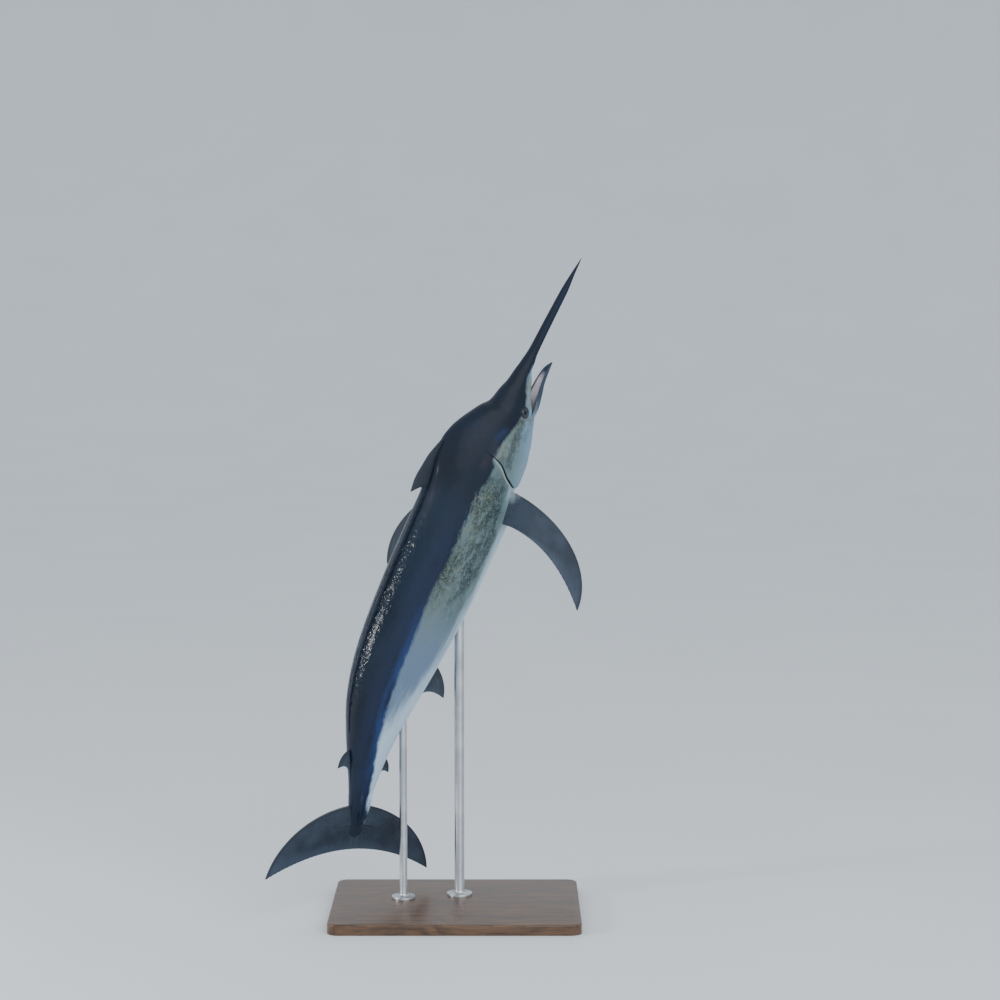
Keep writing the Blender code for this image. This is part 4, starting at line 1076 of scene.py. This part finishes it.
for name, slot_node, origin, chord, height, slant, up, full, rays, rows in SICKLES:
    build_fin(name, slot_node, sickle(origin, chord, height, slant, up), SIDEWAYS, blade(full), rays, rows)


# The pectoral fins are stiff sickles that stand out low from the shoulders on pale fleshy roots.
PEC_OUT, PEC_BACK, PEC_BASE, PEC_ANGLE, PEC_HEEL = 0.606, 0.445, 0.190, 128, (0.045, 0.183)
PEC_LEAD, PEC_HUB, PEC_SUNK, PEC_PIVOT, PEC_TAPER, PEC_SWEEP = 25.0, 28.0, 0.035, 0.4, 0.9, 2.2
PEC_FULL, PEC_RAYS, PEC_ROWS, PEC_PALE = 0.024, 19, 48, 0.9


def pectoral(sign, droop, fold):
    droop, fold = math.radians(droop), math.radians(fold)
    outward = np.array((0.0, sign * math.cos(droop), -math.sin(droop)))
    normal = (0.0, sign * math.sin(droop), math.cos(droop))
    side, rise = section(PEC_HUB, math.radians(PEC_ANGLE))
    hub = np.array((share(PEC_LEAD), sign * float(side), float(rise)))

    def point(u, v):
        tip_share = (1 - u) ** PEC_TAPER
        end_out = PEC_HEEL[0] + (PEC_OUT - PEC_HEEL[0]) * tip_share
        end_back = PEC_HEEL[1] + (PEC_BACK - PEC_HEEL[1]) * tip_share ** PEC_SWEEP
        turn = v * math.pi / 2
        out = -PEC_SUNK + (end_out + PEC_SUNK) * np.sin(turn)
        back = PEC_BASE * u + (end_back - PEC_BASE * u) * (1 - np.cos(turn)) - PEC_PIVOT * PEC_BASE
        turned_out = out * math.cos(fold) - back * math.sin(fold)
        turned_back = PEC_PIVOT * PEC_BASE + out * math.sin(fold) + back * math.cos(fold)
        return hub + outward * turned_out[..., None] + np.array((1.0, 0.0, 0.0)) * turned_back[..., None]

    return point, normal


for word, sign, droop, fold in (("right", 1, 36, 0), ("left", -1, -35, 31)):
    point, normal = pectoral(sign, droop, fold)
    build_fin("pectoral_" + word, "pectoral_fin_" + word, point, normal, blade(PEC_FULL), PEC_RAYS, PEC_ROWS,
              root_pale=PEC_PALE)


# The pelvic fins are slim straps folded back along the belly.
PELVIC_FROM, PELVIC_REACH, PELVIC_ANGLE, PELVIC_RAYS, PELVIC_ROWS = 27.5, 9.3, 171, 3, 40
PELVIC_SUNK, PELVIC_LIFT, PELVIC_SPREAD, PELVIC_ROUND = 0.012, 0.014, 0.002, 0.12
PELVIC_ROOT, PELVIC_NARROW, PELVIC_WIDE, PELVIC_TAPER = 0.004, 0.005, 0.015, 0.7


def pelvic(sign):
    def point(u, v):
        station = PELVIC_FROM + PELVIC_REACH * v
        side, rise = section(station, math.radians(PELVIC_ANGLE))
        inner = PELVIC_LIFT * v - PELVIC_SUNK
        strap = PELVIC_NARROW + PELVIC_WIDE * (1 - v) ** PELVIC_TAPER
        width = strap * ease(v / PELVIC_ROUND) + PELVIC_ROOT
        return at(station, sign * (side + PELVIC_SPREAD * v), rise - inner - width * u)

    return point


for word, sign in (("right", 1), ("left", -1)):
    build_fin("pelvic_" + word, "pelvic_fin_" + word, pelvic(sign), SIDEWAYS, lambda u, v: 0.003 - 0.0018 * v,
              PELVIC_RAYS, PELVIC_ROWS)


# The tail fin is a stiff upright crescent in two lobes, whose rays wrap the end of the stalk.
TAIL_SPAN, TAIL_BACK, TAIL_WRAP, FORK_STATION, HYPURAL = 0.585, 0.40, 91.5, 100.0, 96.5
TAIL_INNER, TAIL_HEEL, TAIL_GAP, WRAP_SHARE, TAIL_ARCH = 0.014, 1.2, 0.0002, 0.4, 0.75
TAIL_TAPER, TAIL_SWEEP, TAIL_FULL, TAIL_RAYS, TAIL_ROWS = 0.85, 2.0, 0.026, 20, 40


def tail_lobe(up):
    inner = float(back_at(HYPURAL)) - TAIL_INNER
    heel = HYPURAL - TAIL_HEEL

    def point(u, v):
        wrapped = u < WRAP_SHARE
        foot_x = share(np.where(wrapped, TAIL_WRAP + (heel - TAIL_WRAP) * u / WRAP_SHARE, heel))
        foot_rise = np.where(wrapped, inner, TAIL_GAP + (inner - TAIL_GAP) * (1 - u) / (1 - WRAP_SHARE))
        tip_share = (1 - u) ** TAIL_TAPER
        fork = share(FORK_STATION)
        end_rise = TAIL_GAP + (TAIL_SPAN - TAIL_GAP) * tip_share
        end_back = fork + (share(TAIL_WRAP) + TAIL_BACK - fork) * tip_share ** TAIL_SWEEP
        turn = v * math.pi / 2
        rise = foot_rise + (end_rise - foot_rise) * (TAIL_ARCH * np.sin(turn) + (1 - TAIL_ARCH) * v)
        along = foot_x + (end_back - foot_x) * (TAIL_ARCH * (1 - np.cos(turn)) + (1 - TAIL_ARCH) * v)
        return np.stack([along, np.zeros_like(along), up * rise], axis=-1)

    return point


for word, up in (("upper", 1), ("lower", -1)):
    build_fin("tail_lobe_" + word, "tail_fin_" + word, tail_lobe(up), SIDEWAYS, blade(TAIL_FULL),
              TAIL_RAYS, TAIL_ROWS)


# The base of the stand: a slab of dark oiled hardwood with round corners and a softened upper edge,
# which lies flat on the floor.
BASE_CORNER, CORNER_CUTS, BASE_EDGE, EDGE_CUTS = 0.06, 12, 0.010, 5
WOOD_DARK, WOOD_LIGHT, WOOD_PORES = (0.050, 0.026, 0.014), (0.135, 0.072, 0.036), (0.02, 0.011, 0.007)
WOOD_ROUGHNESS, WOOD_STRETCH, PORE_STRETCH, RING_WARP = (0.26, 0.42), (0.6, 9.0, 9.0), (0.07, 1.0, 1.0), 5.0
WOOD_MARKINGS = (
    (WOOD_LIGHT, 1.0, {"rings": (0.32, 0.70)}),
    (WOOD_PORES, 0.6, {"pores": (0.56, 0.68)}),
)


def wood_material():
    material, tree, shader = new_material("oiled_hardwood")
    coords = object_place(tree)
    warp = maths(tree, "MULTIPLY", noise(tree, coords, 1.6, 3.0, (0.5, 1.0, 1.0)), RING_WARP)
    slim = node(tree, "ShaderNodeVectorMath", {0: coords, 1: WOOD_STRETCH}, operation="MULTIPLY")
    bent = node(tree, "ShaderNodeVectorMath", {0: slim.outputs[0], 1: warp}, operation="ADD")
    fields = {"rings": noise(tree, bent.outputs[0], 2.2, 6.0, roughness=0.62),
              "pores": noise(tree, coords, 90.0, 2.0, PORE_STRETCH)}
    feed(tree, shader, {"Base Color": paint(tree, fields, WOOD_DARK, WOOD_MARKINGS),
                        "Roughness": remap(tree, fields["rings"], *WOOD_ROUGHNESS),
                        "Normal": bump(tree, fields["pores"], 0.25, 0.0005)})
    return material


base_low, base_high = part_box("stand_base")
work = bmesh.new()
bmesh.ops.create_cube(work, size=1.0)
for vert in work.verts:
    for axis in range(3):
        vert.co[axis] = base_low[axis] + (vert.co[axis] + 0.5) * (base_high[axis] - base_low[axis])
uprights = [e for e in work.edges if abs(e.verts[0].co.z - e.verts[1].co.z) > 0.01]
bmesh.ops.bevel(work, geom=uprights, offset=BASE_CORNER, segments=CORNER_CUTS, affect="EDGES", profile=0.5)
top = [e for e in work.edges if all(v.co.z > base_high.z - 0.001 for v in e.verts)
       and any(abs(f.normal.z) < 0.5 for f in e.link_faces)]
bmesh.ops.bevel(work, geom=top, offset=BASE_EDGE, segments=EDGE_CUTS, affect="EDGES", profile=0.5)
base = link_piece(work, "display_base")
base.data.set_sharp_from_angle(angle=math.radians(50))
base.data.materials.append(wood_material())
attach(base, "root")
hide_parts("stand_base")


# The rods of the stand: two upright brushed steel rods on round flanges, each held down by four
# screws, which rise from the base to the underside of the fish.
STEEL_DARK, STEEL_LIGHT = (0.46, 0.47, 0.49), (0.60, 0.61, 0.62)
STEEL_ROUGHNESS, BRUSH_STRETCH = (0.22, 0.40), (1.0, 1.0, 0.02)
ROD_TURNS, SCREW_TURNS = 64, 24
FLANGE_WIDTH, FLANGE_THICK, FLANGE_BEVEL = 0.045, 0.014, 0.002
SCREWS, SCREW_OUT, SCREW_RADIUS, SCREW_HIGH = 4, 0.028, 0.0055, 0.0025

# Each profile as steps beyond the rod's radius and above the flange, and as shares of a screw's size
FLANGE_PROFILE = (
    (FLANGE_WIDTH, -FLANGE_THICK), (FLANGE_WIDTH, -FLANGE_BEVEL),
    (FLANGE_WIDTH - 0.3 * FLANGE_BEVEL, -0.3 * FLANGE_BEVEL), (FLANGE_WIDTH - FLANGE_BEVEL, 0.0),
    (0.012, 0.0), (0.006, 0.003), (0.002, 0.008), (0.0, 0.014),
)
SCREW_PROFILE = ((1.0, -0.4), (1.0, 0.5), (0.7, 1.0), (0.42, 1.0), (0.40, 0.16))


def steel_material():
    material, tree, shader = new_material("brushed_steel")
    coords = object_place(tree)
    brush = noise(tree, coords, 180.0, 3.0, BRUSH_STRETCH)
    smudge = band(tree, noise(tree, coords, 6.0, 4.0), (0.35, 0.7))
    feed(tree, shader, {"Base Color": mix_colour(tree, smudge, STEEL_DARK, STEEL_LIGHT), "Metallic": 1.0,
                        "Roughness": remap(tree, brush, *STEEL_ROUGHNESS),
                        "Normal": bump(tree, brush, 0.12, 0.0003)})
    return material


steel = steel_material()
for word, radius in (("front", 0.028), ("rear", 0.022)):
    low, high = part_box("stand_rod_" + word)
    x, y = (low.x + high.x) / 2, (low.y + high.y) / 2
    top = low.z + FLANGE_THICK
    work = bmesh.new()
    profile = [(radius + out, top + up) for out, up in FLANGE_PROFILE]
    add_turned(work, profile + [(radius, high.z)], ROD_TURNS, x, y)
    screw = [(SCREW_RADIUS * out, top + SCREW_HIGH * up) for out, up in SCREW_PROFILE]
    for turn in (math.pi * (2 * i + 1) / SCREWS for i in range(SCREWS)):
        out = radius + SCREW_OUT
        add_turned(work, screw, SCREW_TURNS, x + out * math.cos(turn), y + out * math.sin(turn))
    rod = link_piece(work, "display_rod_" + word)
    rod.data.set_sharp_from_angle(angle=math.radians(40))
    rod.data.materials.append(steel)
    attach(rod, "root")
    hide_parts("stand_rod_" + word)
